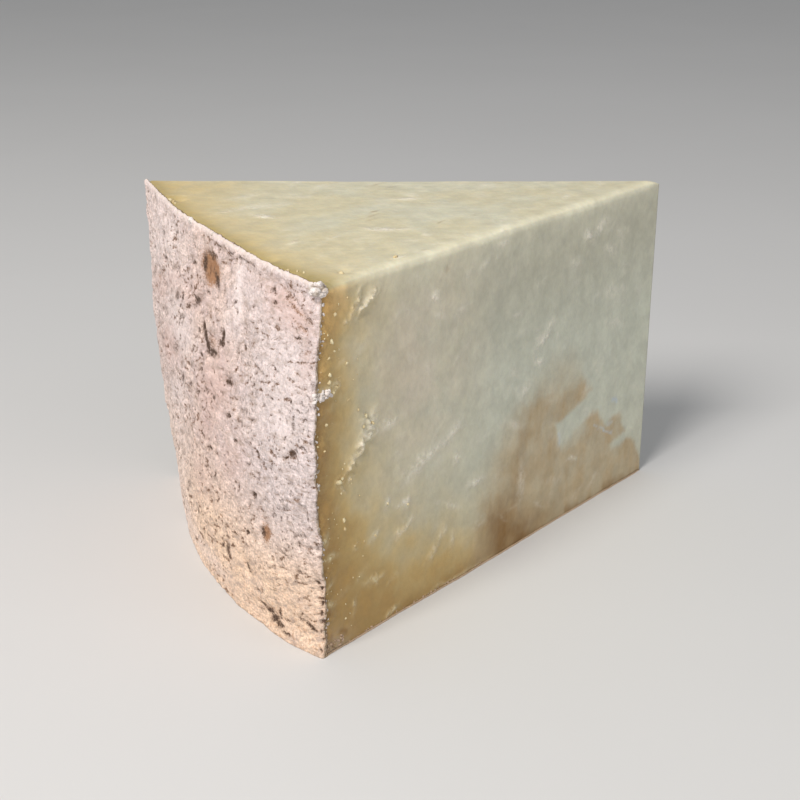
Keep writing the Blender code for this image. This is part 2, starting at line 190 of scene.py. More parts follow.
# Marks that stand out: side from the wall's middle line, height, half length, half width,
# the same lean, how dark and how brown
MARKS = in_mm(4, (
    (5.4, 96.4, 7.6, 4.6, 94, 0.00, 1.30),
    (0.2, 96.6, 3.4, 1.7, 4, 0.85, 0.60),
    (5.6, 100.4, 4.2, 1.0, 92, 0.75, 0.60),
    (10.8, 94.0, 3.4, 1.5, -48, 0.85, 0.60),
    (3.9, 95.8, 2.2, 0.7, -8, 0.60, 0.60),
    (7.8, 96.4, 2.6, 0.6, -12, 0.50, 0.60),
    (-9.0, 94.6, 2.6, 0.8, 88, 0.75, 0.00),
    (-11.4, 95.6, 1.3, 0.6, 40, 0.55, 0.00),
    (-6.6, 96.6, 1.6, 0.6, -40, 0.45, 0.00),
    (16.4, 92.0, 2.4, 0.9, 6, 0.50, 0.00),
    (-2.0, 90.9, 3.6, 0.8, 84, 0.42, 0.00),
    (1.6, 88.4, 2.2, 0.9, 96, 0.42, 0.05),
    (-4.6, 84.2, 3.6, 1.3, 72, 0.85, 0.05),
    (-7.2, 81.9, 2.2, 1.1, 70, 0.55, 0.00),
    (0.6, 81.9, 1.3, 0.5, 75, 0.65, 0.00),
    (-24.5, 80.4, 2.6, 1.9, 70, 0.62, 0.00),
    (2.3, 78.4, 2.0, 1.7, 0, 1.00, 0.30),
    (4.2, 75.8, 2.8, 1.5, -42, 1.00, 0.30),
    (6.8, 73.6, 2.6, 1.5, -60, 1.00, 0.30),
    (11.2, 73.0, 3.4, 1.1, 86, 1.00, 0.30),
    (8.6, 71.7, 4.0, 0.9, 88, 0.80, 0.30),
    (10.0, 76.0, 5.0, 3.2, 86, 0.10, 0.60),
    (9.5, 77.4, 3.4, 0.6, 86, 0.55, 0.45),
    (9.2, 75.2, 2.2, 0.7, 92, 0.50, 0.50),
    (8.0, 79.2, 1.8, 0.5, 84, 0.40, 0.30),
    (17.9, 79.8, 2.5, 1.2, 2, 0.95, 0.10),
    (17.2, 77.3, 2.6, 1.1, 84, 0.95, 0.10),
    (13.9, 80.5, 1.2, 0.5, 10, 0.55, 0.00),
    (-1.6, 75.8, 1.3, 0.8, 80, 0.75, 0.00),
    (-10.2, 76.2, 2.0, 0.7, 72, 0.55, 0.00),
    (-19.5, 75.0, 2.8, 0.8, 74, 0.60, 0.00),
    (24.4, 67.8, 2.8, 1.2, 82, 0.95, 0.30),
    (25.4, 69.8, 1.4, 0.6, 60, 0.55, 0.30),
    (20.2, 70.6, 0.9, 0.7, 80, 0.55, 0.40),
    (0.8, 64.5, 2.2, 0.7, 70, 0.75, 0.00),
    (28.4, 83.4, 2.4, 0.8, 40, 0.35, 0.30),
    (28.6, 77.4, 3.8, 0.9, 20, 0.42, 0.30),
    (48.4, 100.6, 1.9, 0.6, 96, 0.85, 0.00),
    (41.5, 100.1, 0.7, 0.6, 0, 0.70, 0.00),
    (58.0, 101.6, 8.5, 0.5, 118, 0.50, 0.20),
    (65.8, 97.2, 2.4, 0.6, 104, 0.60, 0.50),
    (60.0, 98.6, 6.0, 1.0, 112, 0.25, 0.60),
    (63.0, 94.4, 4.0, 0.8, 108, 0.30, 0.60),
    (66.4, 89.0, 3.0, 0.8, 60, 0.35, 0.50),
    (54.0, 102.2, 6.0, 0.6, 106, 0.35, 0.50),
    (45.0, 98.0, 5.0, 0.5, 106, 0.40, 0.30),
    (-34.0, 76.0, 4.4, 1.2, 72, 0.45, 0.30),
    (-46.0, 70.0, 5.2, 1.4, 74, 0.45, 0.30),
    (-30.0, 88.0, 4.0, 1.0, 76, 0.45, 0.20),
    (-43.0, 87.6, 3.4, 1.1, 78, 0.74, 0.20),
    (-44.0, 95.8, 3.0, 1.0, 76, 0.62, 0.20),
    (-56.0, 62.0, 6.0, 1.6, 72, 0.40, 0.30),
    (-38.0, 50.6, 6.4, 1.2, 70, 0.50, 0.20),
    (-52.0, 44.0, 6.0, 1.4, 68, 0.35, 0.20),
    (-26.0, 34.0, 5.0, 1.0, 68, 0.45, 0.20),
    (30.0, 80.0, 4.0, 1.2, 40, 0.30, 0.30),
    (27.0, 84.6, 3.4, 1.0, 60, 0.35, 0.30),
    (34.0, 87.4, 3.0, 0.8, 80, 0.35, 0.20),
    (61.4, 91.3, 2.0, 0.45, 78, 0.85, 0.00),
    (67.0, 91.6, 1.6, 0.5, 100, 0.60, 0.00),
    (51.5, 80.4, 2.6, 0.5, 105, 0.70, 0.00),
    (42.0, 77.8, 3.4, 0.4, 104, 0.60, 0.00),
    (50.4, 71.6, 1.3, 0.6, 86, 0.80, 0.00),
    (60.0, 73.5, 0.8, 0.7, 0, 0.85, 0.00),
    (66.0, 70.6, 1.8, 0.6, 84, 0.75, 0.00),
    (50.6, 67.2, 1.1, 0.5, 80, 0.65, 0.00),
    (26.4, 104.4, 1.7, 0.6, 84, 0.85, 0.20),
    (18.4, 103.4, 3.2, 0.4, 92, 0.60, 0.20),
    (-15.0, 68.0, 2.2, 1.8, 30, 0.46, 0.00),
    (-28.0, 62.4, 5.0, 2.0, 72, 0.54, 0.00),
    (-20.5, 54.8, 3.2, 1.6, 62, 0.76, 0.05),
    (-13.6, 54.0, 2.2, 0.7, 84, 0.50, 0.00),
    (-13.0, 51.0, 3.4, 1.3, 80, 0.44, 0.00),
    (-35.0, 41.0, 5.0, 1.2, 70, 0.40, 0.00),
    (10.4, 53.0, 2.6, 1.1, 84, 0.50, 0.00),
    (7.0, 60.0, 2.4, 0.8, 76, 0.55, 0.05),
    (25.0, 58.2, 1.9, 0.7, 76, 0.85, 0.00),
    (33.2, 59.3, 2.2, 0.6, 82, 0.65, 0.00),
    (30.6, 52.6, 1.9, 0.7, 82, 0.85, 0.10),
    (43.8, 53.4, 2.2, 0.7, -52, 0.85, 0.10),
    (38.5, 48.5, 1.4, 0.5, 74, 0.65, 0.00),
    (61.2, 59.6, 2.1, 1.0, 68, 0.95, 0.40),
    (58.4, 57.4, 1.1, 0.6, 60, 0.85, 0.20),
    (4.6, 45.2, 1.9, 0.7, 100, 0.80, 0.05),
    (10.2, 42.8, 2.5, 0.8, 74, 0.85, 0.10),
    (-6.0, 46.0, 2.2, 0.5, 74, 0.50, 0.00),
    (32.5, 39.0, 1.6, 0.9, 8, 0.80, 0.05),
    (42.0, 40.4, 1.9, 0.8, 62, 0.95, 0.05),
    (38.6, 36.0, 1.2, 0.5, 48, 0.65, 0.00),
    (47.0, 30.4, 3.8, 2.5, 14, 0.05, 0.95),
    (45.4, 30.0, 1.7, 1.2, 8, 0.80, 0.60),
    (36.6, 26.4, 1.1, 0.8, 80, 0.95, 0.05),
    (31.6, 31.0, 2.2, 0.4, 86, 0.55, 0.05),
    (36.0, 22.4, 2.6, 0.4, 84, 0.55, 0.05),
    (11.0, 27.3, 4.2, 0.5, 70, 0.50, 0.15),
    (23.0, 15.2, 2.5, 1.4, 6, 0.75, 0.60),
    (24.0, 13.4, 1.5, 0.9, 10, 0.90, 0.30),
    (13.5, 14.0, 3.2, 0.6, 70, 0.45, 0.30),
    (4.6, 16.8, 4.4, 0.6, 98, 0.50, 0.10),
    (36.6, 15.3, 2.3, 1.0, -52, 0.80, 0.50),
    (-18.5, 19.4, 3.6, 1.1, 80, 0.62, 0.20),
    (-28.0, 26.4, 4.2, 1.1, 68, 0.50, 0.00),
    (43.6, 6.6, 2.1, 0.7, 100, 0.85, 0.50),
    (47.0, 5.8, 2.1, 1.0, 92, 0.90, 0.50),
    (49.6, 4.5, 2.2, 1.2, 60, 0.95, 0.50),
    (52.0, 7.2, 1.7, 0.9, 8, 0.85, 0.50),
    (52.4, 3.6, 2.6, 0.8, 88, 0.85, 0.60),
    (55.2, 6.2, 1.7, 0.6, 84, 0.70, 0.60),
    (61.6, 9.4, 1.6, 0.7, 94, 0.70, 0.20),
    (65.6, 8.4, 2.8, 0.8, 114, 0.92, 0.20),
    (56.0, 2.5, 2.2, 0.6, 88, 0.80, 0.50),
    (68.9, 21.6, 1.0, 0.7, 0, 1.00, 0.20),
    (68.4, 23.6, 0.7, 0.6, 60, 0.85, 0.20),
    (69.3, 17.2, 1.1, 0.5, 0, 1.00, 0.30),
    (69.2, 14.2, 0.9, 0.5, 0, 0.95, 0.30),
    (69.4, 11.2, 0.8, 0.5, 0, 0.90, 0.30),
    (69.2, 8.2, 0.9, 0.5, 20, 0.90, 0.30),
    (69.4, 5.2, 0.7, 0.5, 0, 0.85, 0.30),
    (69.3, 2.6, 0.8, 0.5, 0, 0.80, 0.30),
))
MARK_DEPTH = 0.55 * MM
# How much a mark is strengthened before it is held at full strength in its middle
MARK_FULLNESS = 1.2
# How far a mark is worked out, in half lengths or half widths
MARK_REACH = 2.4
# The rusty halo of a mark: how much wider it is, and how brown
HALO = 1.5
HALO_BROWN = 0.55
# Bare pale places on the rind: side, height, half length, half width, lean, how pale
PALE_MARKS = in_mm(4, (
    (27.4, 94.0, 11.0, 3.4, 0, 0.85),
    (-18.0, 68.0, 12.0, 4.5, 80, 0.60),
    (28.0, 52.4, 1.8, 0.8, 82, 0.80),
    (48.6, 29.2, 1.8, 0.8, 10, 0.60),
    (2.0, 6.0, 24.0, 3.0, 90, 0.35),
    (56.0, 74.0, 20.0, 14.0, 0, 0.50),
    (52.0, 35.0, 12.0, 5.0, 40, 0.20),
    (-24.0, 72.0, 14.0, 6.0, 80, 0.60),
    (-40.0, 96.0, 16.0, 7.0, 80, 0.45),
    (-60.0, 88.0, 16.0, 6.0, 75, 0.35),
    (-32.0, 46.0, 16.0, 4.0, 70, 0.45),
    (-4.0, 70.0, 5.0, 3.0, 80, 0.40),
    (22.0, 86.0, 8.0, 4.0, 20, 0.35),
    (36.0, 96.0, 10.0, 4.0, 90, 0.30),
))
# Rosier places on it, in the same way
ROSE_MARKS = in_mm(4, (
    (12.0, 62.0, 14.0, 9.0, 60, 0.90),
    (8.0, 50.0, 10.0, 6.0, 70, 0.60),
    (18.0, 72.0, 8.0, 6.0, 40, 0.60),
    (28.0, 46.0, 10.0, 7.0, 60, 0.50),
    (-40.0, 60.0, 18.0, 7.0, 72, 0.80),
    (-52.0, 76.0, 14.0, 5.0, 72, 0.60),
    (-6.0, 86.0, 14.0, 5.0, 80, 0.45),
    (56.0, 97.5, 13.0, 6.0, 100, 0.95),
    (66.0, 86.0, 6.0, 3.0, 20, 0.60),
    (2.0, 30.0, 12.0, 6.0, 70, 0.40),
    (-30.0, 84.0, 12.0, 4.0, 75, 0.50),
))
# Pits of the old cloth: the larger ones are in the solid as well
PIT_COUNT = 46
PIT_SEED = 11
PIT_DEPTH = 0.55 * MM
PIT_SIZES = (1.4 * MM, 3.0 * MM)
PIT_TURNS = (-0.95, 0.95)
PIT_HEIGHTS = (0.08, 0.94)
PIT_WIDTH_SHARES = (0.5, 0.9)
PIT_LEANS = (-40, 60)
FINE_PIT_COUNT = 900
FINE_PIT_SEED = 5
FINE_PIT_SIZES = (0.45 * MM, 2.3 * MM)
FINE_PIT_HEIGHTS = (0.03, 0.97)
FINE_PIT_WIDTH_SHARES = (0.20, 0.40)
FINE_PIT_LEAST_WIDTH = 0.15 * MM
# Their middle lean and its spread, and the least darkness and how much more there can be
FINE_PIT_LEAN = (78, 22)
FINE_PIT_DARK = (0.25, 0.60)
FINE_PIT_BROWN = 0.7
# Their size in the wall's middle, how much larger they are by the back corner, and fainter,
# and how much smaller by the front one
FINE_PIT_MIDDLE = 0.92
FINE_PIT_GROWTH = 0.85
FINE_PIT_FADING = 0.40
FINE_PIT_SHRINKING = 0.45
PEBBLE = 0.15 * MM
PEBBLE_SIZE = 2.6 * MM
GRAIN = 0.085 * MM
GRAIN_SIZE = 1.15 * MM
# Short crooked cracks where the cloth has drawn together, and specks by the front corner
CRACK = 0.22 * MM
CRACK_SIZES = (1.6 * MM, 4.2 * MM)
CRACK_LEAN = 76
CRACK_NARROWNESS = 0.34
# How broken each crack is, and how patchily cracks are spread: size, contrast, level
CRACK_BREAKS = (0.62, 3.5, -0.15)
CRACK_PATCHES = (4.5, 1.9, 0.48)
CRACK_LEAST = 0.10
CRACK_DARK = 0.62
CRACK_BROWN = 0.72
SPECK = 0.16 * MM
SPECK_DARK = 0.58
SPECK_SIZE = 1.25 * MM
SPECK_LEVEL = 0.16
SPECK_CONTRAST = 4.2
# Where the specks crowd: side, height, half width and half height of the place
SPECK_PLACE = (56 * MM, 44 * MM, 17 * MM, 26 * MM)
SPECK_PATCH_SIZE = 17 * MM
# The clean band along the rim with its painted highlight, and the broken dark crease under it
RIM_BAND = 1.05 * MM
RIM_PALE = 0.65
RIM_CREASE_DROP = 2.0 * MM
RIM_CREASE_WIDTH = 0.42 * MM
RIM_CREASE_PLACE = (0.24, 0.30)
RIM_CREASE_DARK = (0.40, 0.50)
RIM_CREASE_GAP = 4.2 * MM
# How much smoother the band is than the rest of the rind
RIM_SMOOTHNESS = 0.8
MARK_WANDER = 0.55 * MM
MARK_WANDER_SIZE = 1.5 * MM
WRINKLE = 0.20 * MM
WRINKLE_SIZES = (2.6 * MM, 9.0 * MM)
WRINKLE_LEAN = 72
SWELL_FADE = 16 * MM
SOFT_EDGE = 0.9 * MM
SOFT_DROP = 0.30
WORN_EDGE = 2.6 * MM


def scattered_pits():
    """Pits of the old cloth, spread over the wall as they are in the solid."""
    draw = Random(PIT_SEED)
    pits = []
    for _ in range(PIT_COUNT):
        turn = draw.uniform(*PIT_TURNS)
        height = draw.uniform(*PIT_HEIGHTS) * HEIGHT
        half_length = draw.uniform(*PIT_SIZES)
        half_width = half_length * draw.uniform(*PIT_WIDTH_SHARES)
        lean = draw.uniform(*PIT_LEANS)
        pits.append((turn, height, half_length, half_width, PIT_DEPTH, lean))
    return pits


def fine_pits():
    """Small dark dashes of old cloth, most of them lying along the wheel."""
    draw = Random(FINE_PIT_SEED)
    small, large = FINE_PIT_SIZES
    middle_lean, lean_spread = FINE_PIT_LEAN
    least_dark, more_dark = FINE_PIT_DARK
    pits = []
    for _ in range(FINE_PIT_COUNT):
        side = draw.uniform(-1, 1) * HALF_ARC
        height = draw.uniform(*FINE_PIT_HEIGHTS) * HEIGHT
        half_length = small + (large - small) * draw.random() ** 2
        back, front = max(0, -side / HALF_ARC), max(0, side / HALF_ARC)
        half_length *= FINE_PIT_MIDDLE + FINE_PIT_GROWTH * back - FINE_PIT_SHRINKING * front
        half_width = half_length * draw.uniform(*FINE_PIT_WIDTH_SHARES) + FINE_PIT_LEAST_WIDTH
        lean = middle_lean + draw.gauss(0, lean_spread)
        dark = (least_dark + more_dark * draw.random() ** 1.2) * (1 - FINE_PIT_FADING * back)
        brown = FINE_PIT_BROWN * draw.random() ** 3
        pits.append((side, height, half_length, half_width, lean, dark, brown))
    return pits


SOLID_MARKS = SCARS + tuple(scattered_pits())
COLOURED_MARKS = MARKS + tuple(fine_pits())


def soft_edge(distance, width=SOFT_EDGE):
    """How far a surface falls away just before an edge."""
    share = np.clip(1.0 - distance / width, 0.0, 1.0)
    return SOFT_DROP * width * share * share


def crooked_cracks(side, height):
    """How deep in a short crooked crack each spot of the wall lies, from 0 to 1."""
    flat = leaning(side, height, CRACK_LEAN, CRACK_SIZES)
    lines = bell(swell(flat, 1.0, 81) / CRACK_NARROWNESS)
    size, contrast, level = CRACK_BREAKS
    broken = np.clip(contrast * swell(flat, size, 82) + level, 0, 1)
    size, contrast, level = CRACK_PATCHES
    patchy = np.clip(level + contrast * swell(flat, size, 83), CRACK_LEAST, 1)
    return lines * broken * patchy


def specks(side, height, places):
    """Small pits, crowded in a band by the front corner."""
    middle, level, half_width, half_height = SPECK_PLACE
    crowded = bell((side - middle) / half_width) * bell((height - level) / half_height)
    crowded = np.clip(crowded + 0.35 + 0.8 * swell(places, SPECK_PATCH_SIZE, 84), 0, 1)
    pits = SPECK_CONTRAST * (swell(places, SPECK_SIZE, 85) - SPECK_LEVEL)
    return crowded * np.clip(pits, 0, 1)


def rim_marks(turn, height, places):
    """How clean the band along the rim is, which also sets its painted highlight, and how dark the
    crease under it.
    """
    drop = HEIGHT - height
    band = bell(drop / RIM_BAND)
    middle, spread = RIM_CREASE_PLACE
    least, more = RIM_CREASE_DARK
    broken = np.clip(0.55 + 2.0 * swell(places, RIM_CREASE_GAP, 88), 0, 1)
    crease = bell((drop - RIM_CREASE_DROP) / RIM_CREASE_WIDTH) * broken
    return band, crease * (least + more * bell((turn - middle) / spread))


def mark_shape(side, height, mark_side, mark_height, half_length, half_width, lean):
    """Which spots a mark reaches, and how strongly, from 0 to 1."""
    span = MARK_REACH * max(half_length, half_width)
    off = side - mark_side
    up = height - mark_height
    near = np.flatnonzero((np.abs(off) < span) & (np.abs(up) < span))
    along, across = along_and_across(off[near], up[near], lean)
    fall = bell(along / half_length) * bell(across / half_width)
    return near, np.minimum(1, MARK_FULLNESS * fall)


def marked(turn, height):
    """Depth, darkness, brownness, paleness and rosiness of the wall's marks at these spots."""
    places = plain_wall(turn, height)
    side = turn * HALF_ARC
    cracks = crooked_cracks(side, height)
    pitted = specks(side, height, places)
    sunk = CRACK * cracks + SPECK * pitted
    dark = np.maximum(CRACK_DARK * cracks, SPECK_DARK * pitted)
    brown = CRACK_BROWN * cracks
    band, crease = rim_marks(turn, height, places)
    # Painted highlight on the band along the rim, carried with the bare pale places
    pale = RIM_PALE * band
    rose = np.zeros_like(turn)
    side = side + MARK_WANDER * swell(places, MARK_WANDER_SIZE, 86)
    height = height + MARK_WANDER * swell(places, MARK_WANDER_SIZE, 87)
    for mark_turn, mark_height, half_length, half_width, depth, lean in SOLID_MARKS:
        place = (mark_turn * HALF_ARC, mark_height, half_length, half_width, lean)
        near, fall = mark_shape(side, height, *place)
        sunk[near] += depth * fall / MARK_FULLNESS
    for *place, darkness, brownness in COLOURED_MARKS:
        near, fall = mark_shape(side, height, *place)
        sunk[near] += MARK_DEPTH * darkness * fall
        dark[near] = np.maximum(dark[near], darkness * fall)
        brown[near] = np.maximum(brown[near], brownness * fall)
        mark_side, mark_height, half_length, half_width, lean = place
        place = (mark_side, mark_height, HALO * half_length, HALO * half_width, lean)
        near, fall = mark_shape(side, height, *place)
        brown[near] = np.maximum(brown[near], HALO_BROWN * darkness * fall)
    for *place, paleness in PALE_MARKS:
        near, fall = mark_shape(side, height, *place)
        pale[near] = np.maximum(pale[near], paleness * fall)
    for *place, rosiness in ROSE_MARKS:
        near, fall = mark_shape(side, height, *place)
        rose[near] = np.maximum(rose[near], rosiness * fall)
    sunk *= 1 - RIM_SMOOTHNESS * band
    dark = np.maximum(dark * (1 - band), crease)
    brown *= 1 - band
    return sunk, dark, brown, pale, rose


def plain_wall(turn, height):
    """Places on the plain wall, before its relief."""
    reach = wall_reach(turn, height / HEIGHT)
    return directions(turn) * reach[:, None] + np.outer(height, (0, 0, 1))


def wall_swell(turn, height):
    """The broad unevenness that the rind and the paste behind it share."""
    return RIND_SWELL * swell(plain_wall(turn, height), RIND_SWELL_SIZE, 1)


def rind_depth(turn, height):
    """How thick the rind is."""
    places = plain_wall(turn, height)
    return RIND_DEPTH + RIND_DEPTH_VARIES * swell(places, RIND_DEPTH_SIZE, 21)


def foot_fold(turn, height):
    """The cloth folded over the wheel's edge: a low roll and a groove above it."""
    share = np.clip((turn - FOLD_START) / (1.0 - FOLD_START), 0.0, 1.0)
    roll = FOLD_PROUD * bell((height - FOLD_HEIGHT / 2) / FOLD_HEIGHT)
    groove = FOLD_GROOVE_SHARE * FOLD_PROUD * bell((height - FOLD_GROOVE) / CREASE_WIDTH)
    return share * (roll - groove)


def cloth_relief(turn, height, sunk):
    """How far the cloth stands out from the swollen wall."""
    places = plain_wall(turn, height)
    relief = RIND_COBBLE * swell(places, RIND_COBBLE_SIZE, 2)
    crease_share = np.sqrt(np.maximum(0.0, turn))
    crease = bell((HEIGHT - CREASE_DROP - height) / CREASE_WIDTH)
    relief -= crease_share * CREASE_DEPTH * crease
    relief += foot_fold(turn, height)
    side = turn * HALF_ARC
    folds = leaning(side, height, WRINKLE_LEAN, WRINKLE_SIZES)
    relief -= WRINKLE * np.abs(swell(folds, 1.0, 31))
    relief += PEBBLE * swell(places, PEBBLE_SIZE, 32)
    relief += GRAIN * swell(places, GRAIN_SIZE, 33)
    relief -= sunk
    relief -= soft_edge(HEIGHT - height)
    return relief


# --- Relief of the cuts ---------------------------------------------------------------

# Torn flakes on the front cut: depth, height, half length, half width, how proud, lean
FLAKES = in_mm(5, (
    (19.5, 98.3, 5.0, 1.2, 1.5, 56),
    (14.5, 98.7, 4.2, 1.2, 1.2, 33),
    (5.1, 77.4, 3.4, 1.5, 0.9, 75),
    (20.5, 66.0, 3.5, 1.4, 1.4, -45),
    (22.5, 62.0, 4.5, 1.5, 1.8, 40),
    (18.0, 56.8, 6.5, 1.3, 1.7, 52),
    (50.3, 46.3, 13.0, 2.4, 0.4, 77),
    (36.5, 27.2, 4.5, 1.8, 0.5, 72),
    (49.4, 13.5, 3.2, 1.6, 0.6, 52),
    (22.7, 15.7, 4.0, 1.7, 0.6, -80),
))
# Those on the hidden cut. Depths in millimetres are a least one, how much more, and how they
# crowd by the rind; heights are shares of the wedge's; the rest are ranges
HIDDEN_FLAKE_COUNT = 12
HIDDEN_FLAKE_SEED = 23
HIDDEN_FLAKE_PROUD = 0.8 * MM
HIDDEN_FLAKE_DEPTHS = (4, 46, 1.6)
HIDDEN_FLAKE_HEIGHTS = (0.08, 0.93)
HIDDEN_FLAKE_LENGTHS = (3.5, 7.0)
HIDDEN_FLAKE_WIDTHS = (1.5, 2.1)
HIDDEN_FLAKE_LEANS = (25, 65)
# Crumbly curd torn up beside them: depth, height, half length, half width, how proud, lean
CURD_TEARS = in_mm(5, (
    (14.8, 98.6, 3.8, 0.9, 0.80, 36),
    (19.4, 98.6, 4.4, 0.8, 0.90, 60),
    (11.6, 95.8, 1.6, 0.7, 0.70, 40),
    (22.4, 100.4, 1.8, 0.5, 0.35, 60),
    (4.6, 77.8, 4.2, 1.2, 0.70, 78),
    (8.2, 79.0, 1.6, 0.9, 0.60, 60),
    (21.6, 64.4, 3.4, 1.2, 1.00, 45),
    (19.0, 60.4, 3.6, 1.3, 1.10, 30),
    (24.6, 61.2, 4.4, 0.8, 0.80, 72),
    (17.2, 56.6, 4.2, 1.1, 1.10, 50),
    (12.8, 52.6, 3.2, 0.8, 0.70, 42),
    (31.6, 61.4, 2.2, 0.6, 0.30, 80),
    (10.0, 51.2, 1.8, 0.9, 0.70, 85),
    (14.6, 50.2, 1.6, 0.8, 0.45, 50),
    (10.8, 48.0, 1.6, 0.6, 0.35, -40),
    (40.2, 42.8, 2.8, 0.9, 0.30, 85),
    (45.8, 44.4, 3.2, 0.9, 0.30, 62),
    (52.5, 47.4, 3.6, 0.9, 0.28, 62),
    (61.6, 40.4, 1.6, 1.2, 0.22, 40),
    (28.8, 37.6, 1.5, 0.7, 0.35, 40),
    (33.5, 35.2, 1.6, 0.7, 0.25, 95),
    (37.6, 34.6, 1.6, 1.0, 0.40, 30),
    (23.2, 29.8, 1.8, 1.0, 0.40, 60),
    (15.2, 29.6, 1.8, 0.7, 0.35, 40),
    (5.0, 29.6, 2.4, 0.9, 0.40, 95),
    (35.0, 26.4, 3.2, 0.9, 0.28, 76),
    (38.4, 28.0, 1.6, 0.8, 0.28, 60),
    (70.4, 29.6, 3.4, 0.8, 0.40, 94),
    (58.4, 26.2, 3.0, 0.9, 0.22, 118),
    (22.0, 16.2, 3.6, 0.9, 0.45, 94),
    (49.6, 13.8, 1.8, 1.1, 0.40, 50),
    (58.6, 15.0, 2.2, 0.7, 0.28, 10),
    (54.0, 19.0, 2.6, 0.8, 0.22, 40),
    (13.2, 11.0, 2.4, 0.7, 0.35, 12),
    (3.2, 36.0, 1.5, 0.8, 0.40, 20),
    (3.0, 21.4, 1.8, 0.7, 0.40, 60),
    (3.8, 15.2, 1.8, 0.9, 0.45, 100),
    (30.0, 2.2, 3.0, 0.7, 0.35, 70),
    (50.4, 1.6, 1.5, 0.8, 0.40, 40),
    (49.6, 93.0, 1.8, 0.8, 0.30, 110),
    (80.0, 102.6, 1.8, 0.6, 0.30, 90),
    (129.4, 95.4, 2.0, 1.0, 0.25, 110),
    (134.4, 96.8, 2.4, 0.9, 0.25, 50),
    (103.0, 60.2, 2.2, 0.9, 0.30, 110),
    (107.0, 67.0, 3.2, 0.8, 0.25, 60),
    (103.4, 67.0, 1.8, 0.8, 0.22, 50),
    (125.4, 19.2, 2.8, 0.6, 0.20, 108),
))
# Those on the hidden cut, in the same way, with their middle lean and its spread
HIDDEN_TEAR_COUNT = 34
HIDDEN_TEAR_SEED = 29
HIDDEN_TEAR_DEPTHS = (2, 90, 2)
HIDDEN_TEAR_HEIGHTS = (0.04, 0.96)
HIDDEN_TEAR_LENGTHS = (1.4, 4.2)
HIDDEN_TEAR_WIDTHS = (0.6, 1.2)
HIDDEN_TEAR_PROUD = (0.2, 0.6)
HIDDEN_TEAR_LEAN = (65, 25)
# The curd's blobs: their size, how much coarser their second layer is and its share, and the
# level, contrast and limit of both together
CURD_BLOB_SIZE = 1.05 * MM
CURD_BLOB_COARSER = 2.3
CURD_BLOB_COARSE_SHARE = 0.7
CURD_BLOB_LEVEL = 0.45
CURD_BLOB_CONTRAST = 1.2
CURD_BLOB_LIMIT = 1.2
# How steep a flake's lip is ahead and behind, and how much of it is plain and how much blobs
LIP_STEEPNESS = (1.7, 0.75)
LIP_PLAIN = 0.4
LIP_BLOBBY = 0.6
# The trough beside a flake: steepness, distance in half widths and share of the lip
FLAKE_TROUGH = (1.3, 1.1, 0.7)
# That beside a tear: distance and share
TEAR_TROUGH = (1.5, 0.35)
# How much of its listed height each of them stands proud
PROUD_SHARE = 0.5
# How fresh a flake's curd is, how narrowly and how far behind its middle
FLAKE_FRESH = (0.70, 1.3, 0.2)
TEAR_FRESH_STEEPNESS = 0.9
TORN_WANDER = 0.9 * MM
TORN_WANDER_SIZE = 2.2 * MM
# Chips in the top cut: turn, depth, half width, how deep
TOP_CHIPS = (
    (0.57, 4.0 * MM, 2.2 * MM, 0.8 * MM),
    (-0.57, 5.0 * MM, 2.0 * MM, 0.7 * MM),
    (0.90, 15.0 * MM, 2.4 * MM, 0.6 * MM),
    (0.88, 38.0 * MM, 2.6 * MM, 0.5 * MM),
)
CURD = 0.15 * MM
CURD_SIZE = 6.5 * MM
CURD_GRAIN = 0.05 * MM
CURD_GRAIN_SIZE = 1.9 * MM
SCALE = 0.16 * MM
SCALE_SIZES = (2.2 * MM, 8.0 * MM)
SCALE_LEVEL = 0.22
CUT_SCALE_LEAN = 32
TOP_STREAK = 0.06 * MM
TOP_STREAK_SIZES = (1.6 * MM, 34 * MM)
CUT_LAYERS = {1: 3, -1: 5}
CUT_FADE = 2.2 * MM
BREAK_FADE = 14 * MM
BREAK_GROWTH = 2.2


def scattered_flakes():
    """Torn flakes for the cut that faces away, most of them near the rind."""
    draw = Random(HIDDEN_FLAKE_SEED)
    least, more, crowding = HIDDEN_FLAKE_DEPTHS
    flakes = []
    for _ in range(HIDDEN_FLAKE_COUNT):
        depth = (least + more * draw.random() ** crowding) * MM
        height = draw.uniform(*HIDDEN_FLAKE_HEIGHTS) * HEIGHT
        half_length = draw.uniform(*HIDDEN_FLAKE_LENGTHS) * MM
        half_width = draw.uniform(*HIDDEN_FLAKE_WIDTHS) * MM
        lean = draw.uniform(*HIDDEN_FLAKE_LEANS)
        flakes.append((depth, height, half_length, half_width, HIDDEN_FLAKE_PROUD, lean))
    return flakes


def scattered_tears():
    """Crumbly tears for the cut that faces away."""
    draw = Random(HIDDEN_TEAR_SEED)
    least, more, crowding = HIDDEN_TEAR_DEPTHS
    tears = []
    for _ in range(HIDDEN_TEAR_COUNT):
        depth = (least + more * draw.random() ** crowding) * MM
        height = draw.uniform(*HIDDEN_TEAR_HEIGHTS) * HEIGHT
        half_length = draw.uniform(*HIDDEN_TEAR_LENGTHS) * MM
        half_width = draw.uniform(*HIDDEN_TEAR_WIDTHS) * MM
        proud = draw.uniform(*HIDDEN_TEAR_PROUD) * MM
        lean = draw.gauss(*HIDDEN_TEAR_LEAN)
        tears.append((depth, height, half_length, half_width, proud, lean))
    return tears


# The torn flakes and the crumbly tears of each cut
TORN = {
    1: (FLAKES, CURD_TEARS),
    -1: (scattered_flakes(), scattered_tears()),
}


